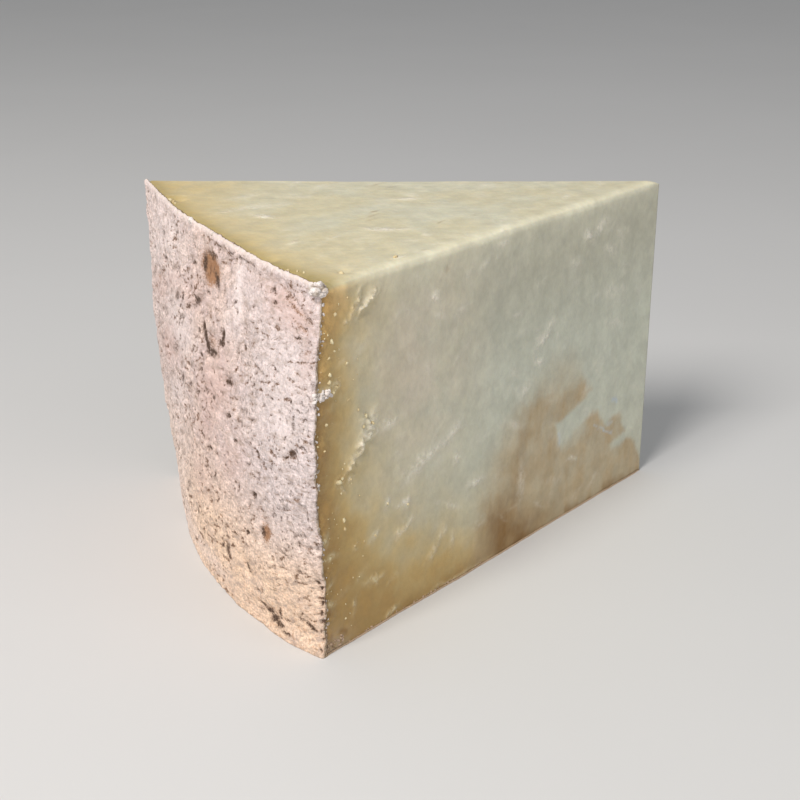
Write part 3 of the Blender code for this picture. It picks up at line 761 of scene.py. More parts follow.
def torn_curd(depth, height, places, flakes, tears):
    """Relief of a cut's torn curd, and how much of each spot is freshly torn."""
    relief = np.zeros_like(depth)
    torn = np.zeros_like(depth)
    coarse = swell(places, CURD_BLOB_COARSER * CURD_BLOB_SIZE, 98)
    blobs = swell(places, CURD_BLOB_SIZE, 95) + CURD_BLOB_COARSE_SHARE * coarse
    blobs = np.clip(CURD_BLOB_LEVEL + CURD_BLOB_CONTRAST * blobs, 0, CURD_BLOB_LIMIT)
    depth = depth + TORN_WANDER * swell(places, TORN_WANDER_SIZE, 99)
    height = height + TORN_WANDER * swell(places, TORN_WANDER_SIZE, 100)
    ahead, behind = LIP_STEEPNESS
    steepness, distance, deep = FLAKE_TROUGH
    fresh, narrowness, back = FLAKE_FRESH
    for flake_depth, flake_height, half_length, half_width, proud, lean in flakes:
        along, across = along_and_across(depth - flake_depth, height - flake_height, lean)
        share = across / half_width
        lip = bell(np.where(share > 0, ahead * share, behind * share))
        trough = bell(steepness * (share - distance))
        length = bell(along / half_length)
        shape = lip * (LIP_PLAIN + LIP_BLOBBY * blobs) - deep * trough
        relief += PROUD_SHARE * proud * length * shape
        torn = np.maximum(torn, fresh * length * bell(narrowness * (share + back)) * blobs)
    distance, deep = TEAR_TROUGH
    for tear_depth, tear_height, half_length, half_width, proud, lean in tears:
        along, across = along_and_across(depth - tear_depth, height - tear_height, lean)
        share = across / half_width
        length = bell(along / half_length)
        shape = blobs * bell(share) - deep * bell(share - distance)
        relief += PROUD_SHARE * proud * length * shape
        torn = np.maximum(torn, length * bell(TEAR_FRESH_STEEPNESS * share) * blobs)
    return relief, np.minimum(1, torn)


def cut_relief(reach, depth, height, places, side):
    """How far a cut face stands out from its plane, quiet towards the point."""
    layer = CUT_LAYERS[side]
    calm = np.minimum(1.0, reach / POINT_CALM)
    relief = CUT_WAVE * swell(places, CUT_WAVE_SIZE, layer)
    relief += CRUMBLE * bell(depth / CRUMBLE_BAND) * swell(places, CRUMBLE_SIZE, layer + 1)
    relief += torn_curd(depth, height, places, *TORN[side])[0]
    broken = 1.0 + BREAK_GROWTH * bell(depth / BREAK_FADE)
    relief += CURD * broken * swell(places, CURD_SIZE, layer + 40)
    relief += CURD_GRAIN * broken * swell(places, CURD_GRAIN_SIZE, layer + 41)
    scales = swell(leaning(-depth, height, CUT_SCALE_LEAN, SCALE_SIZES), 1.0, layer + 42)
    relief += SCALE * broken * np.maximum(0.0, scales - SCALE_LEVEL)
    relief -= soft_edge(HEIGHT - height, WORN_EDGE)
    return calm * relief


def top_relief(turn, reach, places, from_front, from_back):
    """How far the top cut stands up from its plane."""
    limit = wall_reach(turn, np.ones_like(turn))
    depth = limit - reach
    relief = 0.5 * CUT_WAVE * swell(places, CUT_WAVE_SIZE, 7)
    relief += BACK_CORNER_LIFT * (np.maximum(0.0, -turn) * reach / limit) ** 2
    for chip_turn, chip_depth, half_width, sunk in TOP_CHIPS:
        side = (turn - chip_turn) * WEDGE_ANGLE / 2 * reach
        relief -= sunk * bell(side / half_width) * bell((depth - chip_depth) / half_width)
    across, along = TOP_STREAK_SIZES
    streaks = np.stack((from_back / across, reach / along, np.zeros_like(reach)), axis=1)
    relief += TOP_STREAK * swell(streaks, 1.0, 51)
    relief += 0.6 * CURD * swell(places, CURD_SIZE, 52)
    relief -= soft_edge(from_front, WORN_EDGE) + soft_edge(from_back, WORN_EDGE)
    return relief


# --- Carrying spots to their places ---------------------------------------------------

# A relief is left out where its weight is less than this
LEAST_WEIGHT = 0.004
# How ragged the rim is: share, size and layer of each unevenness
RIM_RAGS = ((0.7, 0.6 * CRUMBLE_SIZE, 8), (0.5, 0.25 * CRUMBLE_SIZE, 9))


def where_strong(weights, relief_at):
    """Work out a relief only where its weight counts, and give weight times relief."""
    relief = np.zeros_like(weights)
    strong = np.flatnonzero(weights > LEAST_WEIGHT)
    if len(strong):
        relief[strong] = weights[strong] * relief_at(strong)
    return relief


class Spots:
    """Spots of one piece, with what its relief and its colours are worked out from."""

    def __init__(self, spots, is_rind):
        self.reach, self.turn, self.height = np.array(spots, float).T
        self.is_rind = is_rind
        self.out = directions(self.turn)
        self.limit = wall_reach(self.turn, self.height / HEIGHT)
        self.depth = self.limit - self.reach
        self.plain = self.out * self.reach[:, None] + np.outer(self.height, (0, 0, 1))
        half = WEDGE_ANGLE / 2
        self.from_front = self.reach * np.sin((1 - self.turn) * half)
        self.from_back = self.reach * np.sin((1 + self.turn) * half)
        self.from_top = HEIGHT - self.height
        self.skin = np.clip(1 - self.depth / rind_depth(self.turn, self.height), 0, 1)
        if is_rind:
            marks = marked(self.turn, self.height)
            self.sunk, self.dark, self.brown, self.pale, self.rose = marks

    def cloth(self, chosen):
        turn, height = self.turn[chosen], self.height[chosen]
        relief = cloth_relief(turn, height, self.sunk[chosen])
        relief -= soft_edge(self.from_front[chosen]) + soft_edge(self.from_back[chosen])
        return np.maximum(relief, THINNEST - rind_depth(turn, height))

    def groove(self, chosen):
        """How far the paste has shrunk down beside the rind."""
        return GROOVE * bell((self.depth[chosen] - RIND_DEPTH - RIND_GAP) / GROOVE_WIDTH)

    def cut(self, chosen, side):
        relief = cut_relief(
            self.reach[chosen],
            self.depth[chosen],
            self.height[chosen],
            self.plain[chosen],
            side,
        )
        if self.is_rind:
            relief += EDGE_PROUD - soft_edge(self.depth[chosen])
        else:
            relief -= GROOVE_ON_CUT * self.groove(chosen)
        return relief

    def top(self, chosen):
        places = self.plain[chosen]
        relief = top_relief(
            self.turn[chosen],
            self.reach[chosen],
            places,
            self.from_front[chosen],
            self.from_back[chosen],
        )
        if self.is_rind:
            ragged = np.ones(len(places))
            for share, size, layer in RIM_RAGS:
                ragged += share * swell(places, size, layer)
            relief += RIM_PROUD * ragged - soft_edge(self.depth[chosen])
        else:
            relief -= self.groove(chosen)
        return relief

    def carried(self):
        """The spots' places on the finished wedge."""
        shift = wall_swell(self.turn, self.height) * bell(self.depth / SWELL_FADE)
        if self.is_rind:
            shift += where_strong(self.skin, self.cloth)
        places = self.plain + self.out * shift[:, None]
        half = WEDGE_ANGLE / 2
        front_normal = np.array((sin(half), -cos(half), 0.0))
        back_normal = np.array((sin(half), cos(half), 0.0))
        front = where_strong(bell(self.from_front / CUT_FADE), lambda some: self.cut(some, 1))
        back = where_strong(bell(self.from_back / CUT_FADE), lambda some: self.cut(some, -1))
        lift = where_strong(bell(self.from_top / CUT_FADE), self.top)
        places += np.outer(front, front_normal) + np.outer(back, back_normal)
        places[:, 2] += lift
        return places + POINT


# --- Sewing the pieces ----------------------------------------------------------------


def even(start, stop, step):
    """Evenly spaced values from start to stop, both ends included."""
    return np.linspace(start, stop, max(2, round(abs(stop - start) / step) + 1))


def inside_places(length, step, shifted):
    """Places strictly inside a length: close rows at both ends, even steps between."""
    rows = np.array(EDGE_ROWS)
    inner = length - 2 * (rows[-1] + step / 2)
    if inner <= 0:
        return np.array([length / 2]) if length > step else np.array([])
    count = max(1, round(inner / step))
    even_ones = rows[-1] + step / 2 + inner * (np.arange(count) + (0.75 if shifted else 0.25)) / count
    return np.concatenate((rows, even_ones, length - rows[::-1]))


def scatter(width, step_at, length_at, seed):
    """Pairs (across, along) that fill a strip evenly but without a visible grid."""
    draw = np.random.default_rng(seed)
    across = list(EDGE_ROWS)
    while across[-1] < width - step_at(across[-1]) - EDGE_ROWS[-1]:
        across.append(across[-1] + step_at(across[-1]))
    across.extend(width - row for row in reversed(EDGE_ROWS))
    pairs = []
    for number, place in enumerate(across):
        step = step_at(place)
        along = inside_places(length_at(place), step, number % 2)
        spread = np.full(len(along), place)
        free = slice(2, -2)
        if 2 <= number < len(across) - 2:
            spread[free] += step * JITTER * draw.uniform(-1, 1, len(spread[free]))
        along[free] += step * JITTER * draw.uniform(-1, 1, len(along[free]))
        pairs.append(np.stack((spread, along), axis=1))
    return np.concatenate(pairs)


def flat_on_cut(spots):
    return spots[:, [0, 2]]


def flat_on_top(spots):
    return directions(spots[:, 1])[:, :2] * spots[:, :1]


def flat_on_wall(spots):
    return np.stack((spots[:, 1] * HALF_ARC, spots[:, 2]), axis=1)


class Shell:
    """A closed skin sewn from patches that share the spots on their borders."""

    def __init__(self):
        self.spots = []
        self.faces = []

    def line(self, reach, turn, height):
        """Keep a line of spots and give their numbers."""
        reach, turn, height = np.broadcast_arrays(reach, turn, height)
        first = len(self.spots)
        self.spots.extend(np.stack((reach, turn, height), axis=1).tolist())
        return list(range(first, len(self.spots)))

    def patch(self, border, inside, flatten):
        """Fill a closed border with triangles that also pass through the inside spots."""
        numbers = border + self.line(*inside)
        flat = flatten(np.array([self.spots[number] for number in numbers])) / MM
        ring = [(step, (step + 1) % len(border)) for step in range(len(border))]
        found = delaunay_2d_cdt([Vector(place) for place in flat.tolist()], ring, [], 1, 1e-5)
        origins = [numbers[same[0]] for same in found[3]]
        self.faces.extend([origins[corner] for corner in face] for face in found[2])


def ring(*lines):
    """Join lines end to end into one closed border, each shared end kept once."""
    return [number for line in lines for number in line[:-1]]


def wall_filling(step, low, reach_at, seed):
    """Spots all over the wall, down to a low height."""
    pairs = scatter(WALL_ARC, lambda _: step, lambda _: HEIGHT - low, seed)
    turn = 2 * pairs[:, 0] / WALL_ARC - 1
    height = low + pairs[:, 1]
    return reach_at(turn, height), turn, height


def level_filling(step, level, reach_at, seed):
    """Spots all over the wedge's plan, at one height."""
    pairs = scatter(
        BASE_REACH, lambda _: step, lambda depth: WEDGE_ANGLE * (BASE_REACH - depth), seed
    )
    share = 1 - pairs[:, 0] / BASE_REACH
    turn = 2 * pairs[:, 1] / (WEDGE_ANGLE * BASE_REACH * share) - 1
    height = np.full(len(pairs), level)
    return share * reach_at(turn, height), turn, height


def cut_step(depth):
    """Spacing of a cut's spots: finest by the rind, where the paste is broken."""
    share = np.clip((depth - FINE_DEPTH) / FINE_DEPTH, 0, 1)
    return NEAR_STEP + (FAR_STEP - NEAR_STEP) * share


def cut_filling(side, coarser, low, reach_at, seed):
    """Spots all over one cut, side 1 in front or -1 behind."""
    pairs = scatter(
        BASE_REACH, lambda depth: coarser * cut_step(depth), lambda _: HEIGHT - low, seed
    )
    turn = np.full(len(pairs), float(side))
    height = low + pairs[:, 1]
    return (1 - pairs[:, 0] / BASE_REACH) * reach_at(turn, height), turn, height


def strip_filling(turn, height, shares):
    """Spots at some shares of the rind's thickness, all along a cut edge of it."""
    turn, height = np.broadcast_arrays(turn, height)
    share = np.repeat(shares, len(turn))
    turn, height = np.tile(turn, len(shares)), np.tile(height, len(shares))
    return outer_reach(turn, height) - share * rind_depth(turn, height), turn, height


def outer_reach(turn, height):
    """Reach of the rind's outer side."""
    return wall_reach(turn, height / HEIGHT)


def inner_reach(turn, height):
    """Reach of the rind's inner side."""
    return outer_reach(turn, height) - rind_depth(turn, height)


def paste_reach(turn, height):
    """Reach of the paste, a hair inside the rind."""
    return inner_reach(turn, height) - RIND_GAP


def level_arc(shell, ends, level, reach_at, step):
    """A line of spots round the wall at one height, from the front corner to the back."""
    turn = even(1, -1, step / HALF_ARC)[1:-1]
    height = np.full(len(turn), level)
    return [ends[0]] + shell.line(reach_at(turn, height), turn, height) + [ends[1]]


def upright(shell, side, low, reach_at, step):
    """A line of spots up the wall at one of its corners."""
    height = even(low, HEIGHT, step)
    turn = np.full(len(height), float(side))
    return shell.line(reach_at(turn, height), turn, height)


def spoke(shell, first, last, side, step):
    """A level line of spots between two that the shell has already."""
    start, stop = shell.spots[first], shell.spots[last]
    reach = even(start[0], stop[0], step)[1:-1]
    return [first] + shell.line(reach, float(side), stop[2]) + [last]


def sew_paste():
    """The block of paste: two fine cuts and a fine top, plain where the rind hides it."""
    shell = Shell()
    low = FOOT_DEPTH
    point = shell.line(0.0, 0.0, even(low, HEIGHT, FAR_STEP))
    wall, top, foot = {}, {}, {}
    for side in (1, -1):
        wall[side] = upright(shell, side, low, paste_reach, NEAR_STEP)
        top[side] = spoke(shell, point[-1], wall[side][-1], side, TOP_STEP)
        foot[side] = spoke(shell, point[0], wall[side][0], side, FAR_STEP)
    rim = level_arc(shell, (wall[1][-1], wall[-1][-1]), HEIGHT, paste_reach, NEAR_STEP)
    hem = level_arc(shell, (wall[1][0], wall[-1][0]), low, paste_reach, HIDDEN_STEP / 2)
    for side, coarser, seed in ((1, 1.0, 101), (-1, BACK_COARSER, 102)):
        border = ring(foot[side], wall[side], top[side][::-1], point[::-1])
        shell.patch(border, cut_filling(side, coarser, low, paste_reach, seed), flat_on_cut)
    border = ring(top[1], rim, top[-1][::-1])
    shell.patch(border, level_filling(TOP_STEP, HEIGHT, paste_reach, 103), flat_on_top)
    border = ring(foot[1], hem, foot[-1][::-1])
    shell.patch(border, level_filling(HIDDEN_STEP, low, paste_reach, 104), flat_on_top)
    border = ring(wall[1], rim, wall[-1][::-1], hem[::-1])
    shell.patch(border, wall_filling(HIDDEN_STEP, low, paste_reach, 105), flat_on_wall)
    return shell


def sew_rind():
    """The cloth rind: an upright shell round the wall and a thin sheet under the foot."""
    shell = Shell()
    low = FOOT_DEPTH
    point = shell.line(0.0, 0.0, np.array((0.0, low)))
    outer, inner, sole, insole, rim_end = {}, {}, {}, {}, {}
    for side in (1, -1):
        outer[side] = upright(shell, side, 0.0, outer_reach, WALL_STEP)
        inner[side] = upright(shell, side, low, inner_reach, 2 * WALL_STEP)
        sole[side] = spoke(shell, point[0], outer[side][0], side, FAR_STEP)
        insole[side] = spoke(shell, point[1], inner[side][0], side, FAR_STEP)
        rim_end[side] = spoke(shell, inner[side][-1], outer[side][-1], side, WALL_STEP)
    outer_hem = level_arc(shell, (outer[1][0], outer[-1][0]), 0.0, outer_reach, WALL_STEP)
    outer_rim = level_arc(shell, (outer[1][-1], outer[-1][-1]), HEIGHT, outer_reach, WALL_STEP)
    inner_rim = level_arc(shell, (inner[1][-1], inner[-1][-1]), HEIGHT, inner_reach, WALL_STEP)
    inner_hem = level_arc(shell, (inner[1][0], inner[-1][0]), low, inner_reach, HIDDEN_STEP / 2)

    border = ring(outer[1], outer_rim, outer[-1][::-1], outer_hem[::-1])
    shell.patch(border, wall_filling(WALL_STEP, 0.0, outer_reach, 201), flat_on_wall)
    border = ring(inner[1], inner_rim, inner[-1][::-1], inner_hem[::-1])
    shell.patch(border, wall_filling(HIDDEN_STEP, low, inner_reach, 202), flat_on_wall)
    border = ring(sole[1], outer_hem, sole[-1][::-1])
    shell.patch(border, level_filling(SOLE_STEP, 0.0, outer_reach, 203), flat_on_top)
    border = ring(insole[1], inner_hem, insole[-1][::-1])
    shell.patch(border, level_filling(HIDDEN_STEP, low, inner_reach, 204), flat_on_top)

    border = ring(rim_end[1], outer_rim, rim_end[-1][::-1], inner_rim[::-1])
    turn = even(1, -1, WALL_STEP / HALF_ARC)[1:-1]
    shell.patch(border, strip_filling(turn, HEIGHT, (0.34, 0.67)), flat_on_top)
    for side in (1, -1):
        border = ring(sole[side], outer[side], rim_end[side][::-1], inner[side][::-1])
        border += ring(insole[side][::-1]) + [point[1]]
        height = even(low, HEIGHT, WALL_STEP)[1:-1]
        strip = strip_filling(float(side), height, (0.25, 0.5, 0.75))
        shell.patch(border, strip, flat_on_cut)
    return shell


def make_piece(name, shell, is_rind):
    """Turn a sewn shell into an object whose faces all point out."""
    spots = Spots(shell.spots, is_rind)
    mesh = bpy.data.meshes.new(name)
    mesh.from_pydata(spots.carried().tolist(), [], shell.faces)
    turned = bmesh.new()
    turned.from_mesh(mesh)
    bmesh.ops.recalc_face_normals(turned, faces=turned.faces)
    turned.to_mesh(mesh)
    turned.free()
    mesh.shade_smooth()
    piece = bpy.data.objects.new(name, mesh)
    bpy.context.scene.collection.objects.link(piece)
    return piece, spots


def keep_values(piece, **fields):
    """Keep numbers, or threes of them, for each point of a piece, for its material to read."""
    for name, values in fields.items():
        kind, key = ("FLOAT", "value") if values.ndim == 1 else ("FLOAT_VECTOR", "vector")
        attribute = piece.data.attributes.new(name, kind, "POINT")
        attribute.data.foreach_set(key, values.astype(np.float32).ravel())


# --- Fields of colour on the paste ----------------------------------------------------

# How far the tan reaches in from the rind at the top, how much farther it reaches low down,
# and how high up that goes
TAN_DEPTH = 15.5 * MM
TAN_LOW_DEPTH = 29 * MM
TAN_LOW_HEIGHT = 30 * MM
TAN_FADING = 0.12
TAN_STEEPNESS = 1.5
TAN_FOOT = 15 * MM
TAN_FOOT_ENDS = (80 * MM, 120 * MM)
TAN_FOOT_STEEPNESS = 1.25
# How strong the tan at the foot is by the rind, and how much weaker past the farther end
TAN_FOOT_STRENGTHS = (0.74, 0.55)
TOP_TAN_DEPTH = 13 * MM
TOP_TAN_BACK = 15 * MM
# Painted highlight just below the top edge of the cuts: how far down it reaches, how strong, and how
# far down it stays full
BLOOM_DEPTH = 5.5 * MM
BLOOM_STRENGTH = 0.75
BLOOM_DROP = 1.2 * MM
# Where the painted edge highlight starts, how far on from there it is full, and how steeply it grows
BLOOM_START = 3 * MM
BLOOM_RUN = 26 * MM
BLOOM_GROWTH = 0.7
# Painted contact shadow on the top beside the rind: how far in it reaches, and how steeply it widens
# towards the front corner
OLIVE_DEPTH = 4.6 * MM
OLIVE_CORNER = 4
# Depths between which the cuts take on a painted grey sheen and shade
GREY_DEPTHS = (15 * MM, 80 * MM)
# Heights between which painted shade darkens the cuts towards the top edge
DUSK_HEIGHTS = (62 * MM, 92 * MM)
# Where a rosy painted sheen lies on the front: depth, height, half length and half width of the place
ROSY_PLACE = (40 * MM, 76 * MM, 30 * MM, 36 * MM)
# How far in from the cut edges the top gets its painted highlight
EDGE_BLOOM = 2.4 * MM
SEAM_DEPTH = 3.2 * MM
# How far the grey mould at the foot of each corner reaches in, and up
MOULD_SIZES = (9 * MM, 6 * MM)
# Pale smears of curd on the front cut: depth, height, half length, half width, strength, lean
SMEARS = in_mm(4, (
    (46.5, 45.2, 8.5, 1.5, 0.80, 68),
    (60.5, 49.8, 4.4, 1.6, 0.70, 60),
    (56.0, 47.4, 3.0, 1.2, 0.55, 85),
    (61.8, 40.2, 2.4, 1.4, 0.45, 30),
    (41.0, 43.0, 3.6, 1.2, 0.55, 85),
    (71.0, 29.8, 3.8, 0.9, 0.95, 95),
    (35.6, 26.6, 4.2, 1.3, 0.70, 70),
    (29.0, 37.8, 1.6, 1.1, 0.75, 30),
    (35.8, 35.2, 3.2, 1.0, 0.75, 105),
    (38.4, 34.6, 1.6, 1.2, 0.70, 20),
    (23.0, 29.6, 2.2, 1.1, 0.65, 70),
    (49.8, 13.8, 2.4, 1.3, 0.85, 48),
    (22.0, 15.8, 4.4, 1.1, 0.80, 94),
    (16.5, 19.5, 2.4, 1.4, 0.35, 40),
    (54.0, 19.0, 3.2, 1.2, 0.45, 45),
    (58.5, 14.8, 2.8, 1.1, 0.45, 8),
    (59.4, 26.0, 3.6, 1.1, 0.45, 118),
    (13.2, 10.8, 2.6, 1.0, 0.55, 15),
    (3.6, 15.4, 2.2, 1.1, 0.70, 90),
    (3.0, 21.4, 2.0, 1.0, 0.60, 70),
    (5.0, 29.4, 2.6, 1.0, 0.75, 95),
    (3.6, 36.0, 2.2, 1.1, 0.65, 20),
    (21.6, 62.0, 5.0, 2.2, 0.40, 50),
    (30.5, 61.4, 3.0, 0.9, 0.65, 84),
    (17.0, 56.0, 4.4, 1.6, 0.60, 52),
    (5.0, 78.4, 4.6, 1.9, 0.90, 80),
    (17.5, 98.6, 5.4, 1.5, 0.55, 56),
    (50.0, 93.2, 2.4, 1.1, 0.65, 115),
    (52.0, 87.6, 2.4, 1.0, 0.40, 115),
    (62.5, 86.8, 3.8, 1.2, 0.45, 72),
    (48.0, 72.0, 3.0, 2.2, 0.25, 0),
    (80.4, 102.4, 2.2, 0.9, 0.70, 90),
    (72.0, 98.0, 4.0, 1.4, 0.35, 60),
    (104.4, 59.6, 2.4, 1.2, 1.00, 95),
    (105.2, 66.8, 3.4, 1.1, 0.75, 60),
    (110.0, 70.6, 3.0, 1.4, 0.45, 75),
    (101.6, 62.6, 3.2, 0.9, 0.45, 5),
    (97.2, 52.6, 3.2, 1.8, 0.50, 50),
    (91.4, 78.2, 2.6, 1.0, 0.50, 100),
    (91.0, 59.6, 2.6, 1.8, 0.35, 110),
    (92.0, 42.0, 3.6, 1.3, 0.45, 115),
    (128.6, 95.2, 3.4, 1.2, 0.80, 112),
    (135.0, 97.0, 3.0, 1.5, 0.75, 70),
    (142.6, 88.2, 4.2, 1.7, 0.45, 112),
    (122.0, 87.8, 4.0, 1.8, 0.35, 100),
    (147.0, 73.6, 7.0, 2.6, 0.30, 110),
    (150.0, 61.4, 6.0, 2.2, 0.35, 110),
    (94.6, 21.0, 6.5, 2.2, 0.35, 4),
    (125.6, 19.2, 3.2, 0.7, 0.30, 108),
    (30.0, 2.4, 3.4, 0.9, 0.45, 80),
    (62.0, 1.2, 14.0, 0.6, 0.55, 90),
))
# Those strewn at random: ranges of depth, height, half length and half width in millimetres
# and of strength, and their middle lean and its spread
SMEAR_COUNT = 110
SMEAR_RANGES = ((6, 165), (4, 102), (1.0, 5.0), (0.6, 1.7), (0.06, 0.26))
SMEAR_LEAN = (85, 28)
SMEAR_WANDER = 1.2 * MM
SMEAR_WANDER_SIZE = 3.2 * MM
SMEAR_SEEDS = {1: 41, -1: 42}
# Pale smears of curd on the top: way back from the point, side towards the hidden cut, half
# length, half width, strength, lean from the wedge's middle line
TOP_SMEARS = in_mm(4, (
    (114.0, -21.5, 4.2, 2.2, 0.90, 62),
    (109.0, -24.0, 3.0, 1.3, 0.55, 75),
    (117.5, -19.5, 2.6, 1.4, 0.60, 20),
    (90.2, 11.0, 3.6, 2.0, 0.85, 80),
    (86.0, 14.5, 3.2, 1.5, 0.40, 20),
    (139.2, 8.0, 3.6, 1.7, 0.95, 35),
    (137.0, 20.0, 9.0, 2.3, 0.42, 92),
    (135.6, 34.0, 7.0, 2.0, 0.35, 105),
    (149.4, 17.0, 6.0, 1.2, 0.65, 112),
    (152.0, 44.0, 5.0, 1.4, 0.35, 60),
    (42.0, -8.0, 3.4, 1.2, 0.55, 130),
    (22.0, 3.6, 4.0, 1.5, 0.35, 150),
    (58.0, 17.0, 4.0, 2.2, 0.30, 150),
    (105.0, -31.5, 3.0, 0.9, 0.45, 160),
    (81.0, -37.0, 5.0, 1.6, 0.45, 160),
    (122.6, -50.0, 2.6, 0.9, 0.85, 125),
    (130.5, -24.0, 3.0, 1.1, 0.45, 125),
    (143.5, -24.5, 2.4, 0.9, 0.50, 125),
    (112.0, 46.5, 3.0, 1.0, 0.35, 125),
    (120.0, 27.0, 4.2, 2.2, 0.28, 60),
    (66.0, 5.0, 5.0, 2.2, 0.25, 150),
))
# Small dark specks on the top, in the same way
TOP_SPECKS = in_mm(4, (
    (106.6, -0.4, 2.1, 0.35, 0.85, 120),
    (109.4, -5.0, 4.2, 0.30, 0.45, 120),
    (112.6, -9.6, 2.2, 0.35, 0.45, 120),
    (94.6, -21.4, 2.2, 0.35, 0.60, 122),
    (81.2, -17.6, 1.8, 0.30, 0.30, 122),
    (142.4, -23.2, 1.2, 0.35, 0.50, 122),
    (91.0, 32.0, 4.2, 0.40, 0.45, 120),
    (87.0, 27.0, 3.8, 0.70, 0.30, 110),
    (86.4, 34.0, 2.6, 0.50, 0.28, 95),
    (125.0, 55.8, 1.6, 0.50, 0.45, 70),
    (114.0, -47.6, 1.5, 0.50, 0.40, 120),
    (128.0, 28.6, 1.0, 0.50, 0.25, 100),
))
TOP_SMEAR_COUNT = 60
TOP_SMEAR_REACH = 160 * MM
TOP_SMEAR_CROWDING = 0.6
# Their sides as shares of the way back, lengths and widths in millimetres, strengths, and
# their middle lean and its spread
TOP_SMEAR_SIDES = (-0.42, 0.42)
TOP_SMEAR_LENGTHS = (2, 7)
TOP_SMEAR_WIDTHS = (0.5, 1.6)
TOP_SMEAR_STRENGTHS = (0.06, 0.22)
TOP_SMEAR_LEAN = (125, 25)
TOP_SMEAR_SEED = 43
# Outline of the brown stain on the front cut, partly a painted reflection of the board below: depth,
# height and how softly it ends
STAIN = in_mm(3, (
    (60, -8, 8.0), (69, 6, 9.0), (74, 16, 9.0), (77, 26, 11.0), (83, 35, 12.0), (90, 43, 11.0),
    (98, 49, 8.0), (104, 54, 6.5), (112, 58, 6.5), (122, 57, 6.0), (129, 52, 4.5),
    (132, 46.5, 2.5), (136, 42, 1.2), (133, 39.6, 1.1), (128, 37.4, 1.0), (122, 36.4, 1.0),
    (115.5, 35.4, 1.2), (116.5, 31, 1.2), (118, 25, 1.4), (121, 27, 2.2), (126, 29, 2.4),
    (131, 30, 2.0), (137, 32.6, 1.6), (141, 32.4, 1.0), (143, 28.4, 1.0), (146, 25.5, 1.2),
    (150, 27.5, 1.4), (155, 26.6, 1.2), (156, 23, 1.0), (160, 20, 1.0), (155, 18.2, 1.0),
    (150, 17.2, 1.4), (151, 14.4, 1.6), (156, 13.8, 1.6), (160, 15.8, 1.4), (164, 14, 1.2),
    (168, 9, 1.2), (170, 4, 1.0), (171, -8, 1.0),
))
STAIN_WANDER = 1.3 * MM
STAIN_WANDER_SIZES = (6.0 * MM, 2.0 * MM)
# Above this height the stain and its painted reflection are a haze, and so is one lobe of it
HAZE_HEIGHT = 46.5 * MM
HAZE_SOFTNESS = 1.6 * MM
HAZE = 0.62
GREY_LOBE = in_mm(6, ((120, 27.5, 132, 28.5, 6.5, 5.0, 0.55),))
# Strokes where it is darker, those along the foot being painted shade: depth and height of both ends,
# half width at both, strength
SOAKED = in_mm(6, (
    (82, 12, 91, -2, 15, 18, 0.75),
    (88, 4, 96, 36, 9, 5, 0.42),
    (84, 14, 88, 0, 9, 13, 0.30),
    (96, 38, 103, 46, 6, 6, 0.16),
    (94, 6, 114, 6, 11, 8, 0.40),
    (36, -2, 98, -2, 7, 10, 0.62),
    (98, -3, 168, -3, 10, 8, 0.40),
    (123, 1.2, 136, 0.8, 3.0, 2.6, 0.45),
    (146, 1.8, 158, 1.2, 3.2, 2.8, 0.50),
    (112, 42, 128, 41, 7, 4, 0.14),
    (104, 24, 110, 27, 4, 4, 0.14),
    (134, 26, 139, 24, 6, 5, 0.12),
    (54.1, 100.8, 54.7, 100.3, 1.3, 1.3, 0.60),
    (7.4, 5.6, 9.4, 4.2, 2.0, 1.6, 0.80),
    (1.5, 17, 2.0, 13, 1.6, 1.4, 0.80),
    (2.0, 6, 4.0, 2, 1.8, 1.6, 0.70),
))
# The same for the hidden cut
BACK_STAIN = in_mm(3, (
    (58, -8, 6), (64, 8, 6), (72, 15, 5), (80, 12, 4), (90, 5, 4), (104, 6, 3), (120, -8, 3),
))
BACK_SOAKED = in_mm(6, (
    (30, -2, 125, -2, 7, 8, 0.50),
    (62, 2, 72, 10, 6, 3, 0.35),
    (112, 88, 113, 87, 1.4, 1.4, 0.50),
))
# Strokes on the front cut where it is cooler, in the same way
COOL_SPOTS = in_mm(6, (
    (138.4, 27.6, 144.6, 23.8, 0.7, 0.7, 0.55),
    (144.6, 23.8, 149.8, 21.2, 0.8, 0.8, 0.60),
    (150.6, 33.4, 153.4, 32.0, 1.2, 0.9, 0.80),
    (147.0, 25.8, 149.6, 25.4, 1.0, 0.8, 0.45),
    (117.4, 30.6, 117.0, 26.0, 1.2, 1.0, 0.50),
))
# What marks each cut: the outline of its stain with painted reflection, its darker strokes with
# painted shade along the foot, and its cooler ones
STAINS = {1: (STAIN, SOAKED, COOL_SPOTS), -1: (BACK_STAIN, BACK_SOAKED, ())}


def along_segment(depth, height, start, end):
    """How far each spot lies from a segment, and at what share of its run."""
    run, rise = end[0] - start[0], end[1] - start[1]
    share = ((depth - start[0]) * run + (height - start[1]) * rise) / (run**2 + rise**2)
    share = np.clip(share, 0, 1)
    return np.hypot(depth - start[0] - share * run, height - start[1] - share * rise), share


def stroked(depth, height, strokes):
    """How strongly some strokes, each falling to nothing at its half width, mark each spot."""
    left = np.ones_like(depth)
    for *ends, first_width, last_width, strength in strokes:
        off, share = along_segment(depth, height, ends[:2], ends[2:])
        near = np.clip(1 - off / (first_width + (last_width - first_width) * share), 0, 1)
        left *= 1 - strength * near * near * (3 - 2 * near)
    return 1 - left


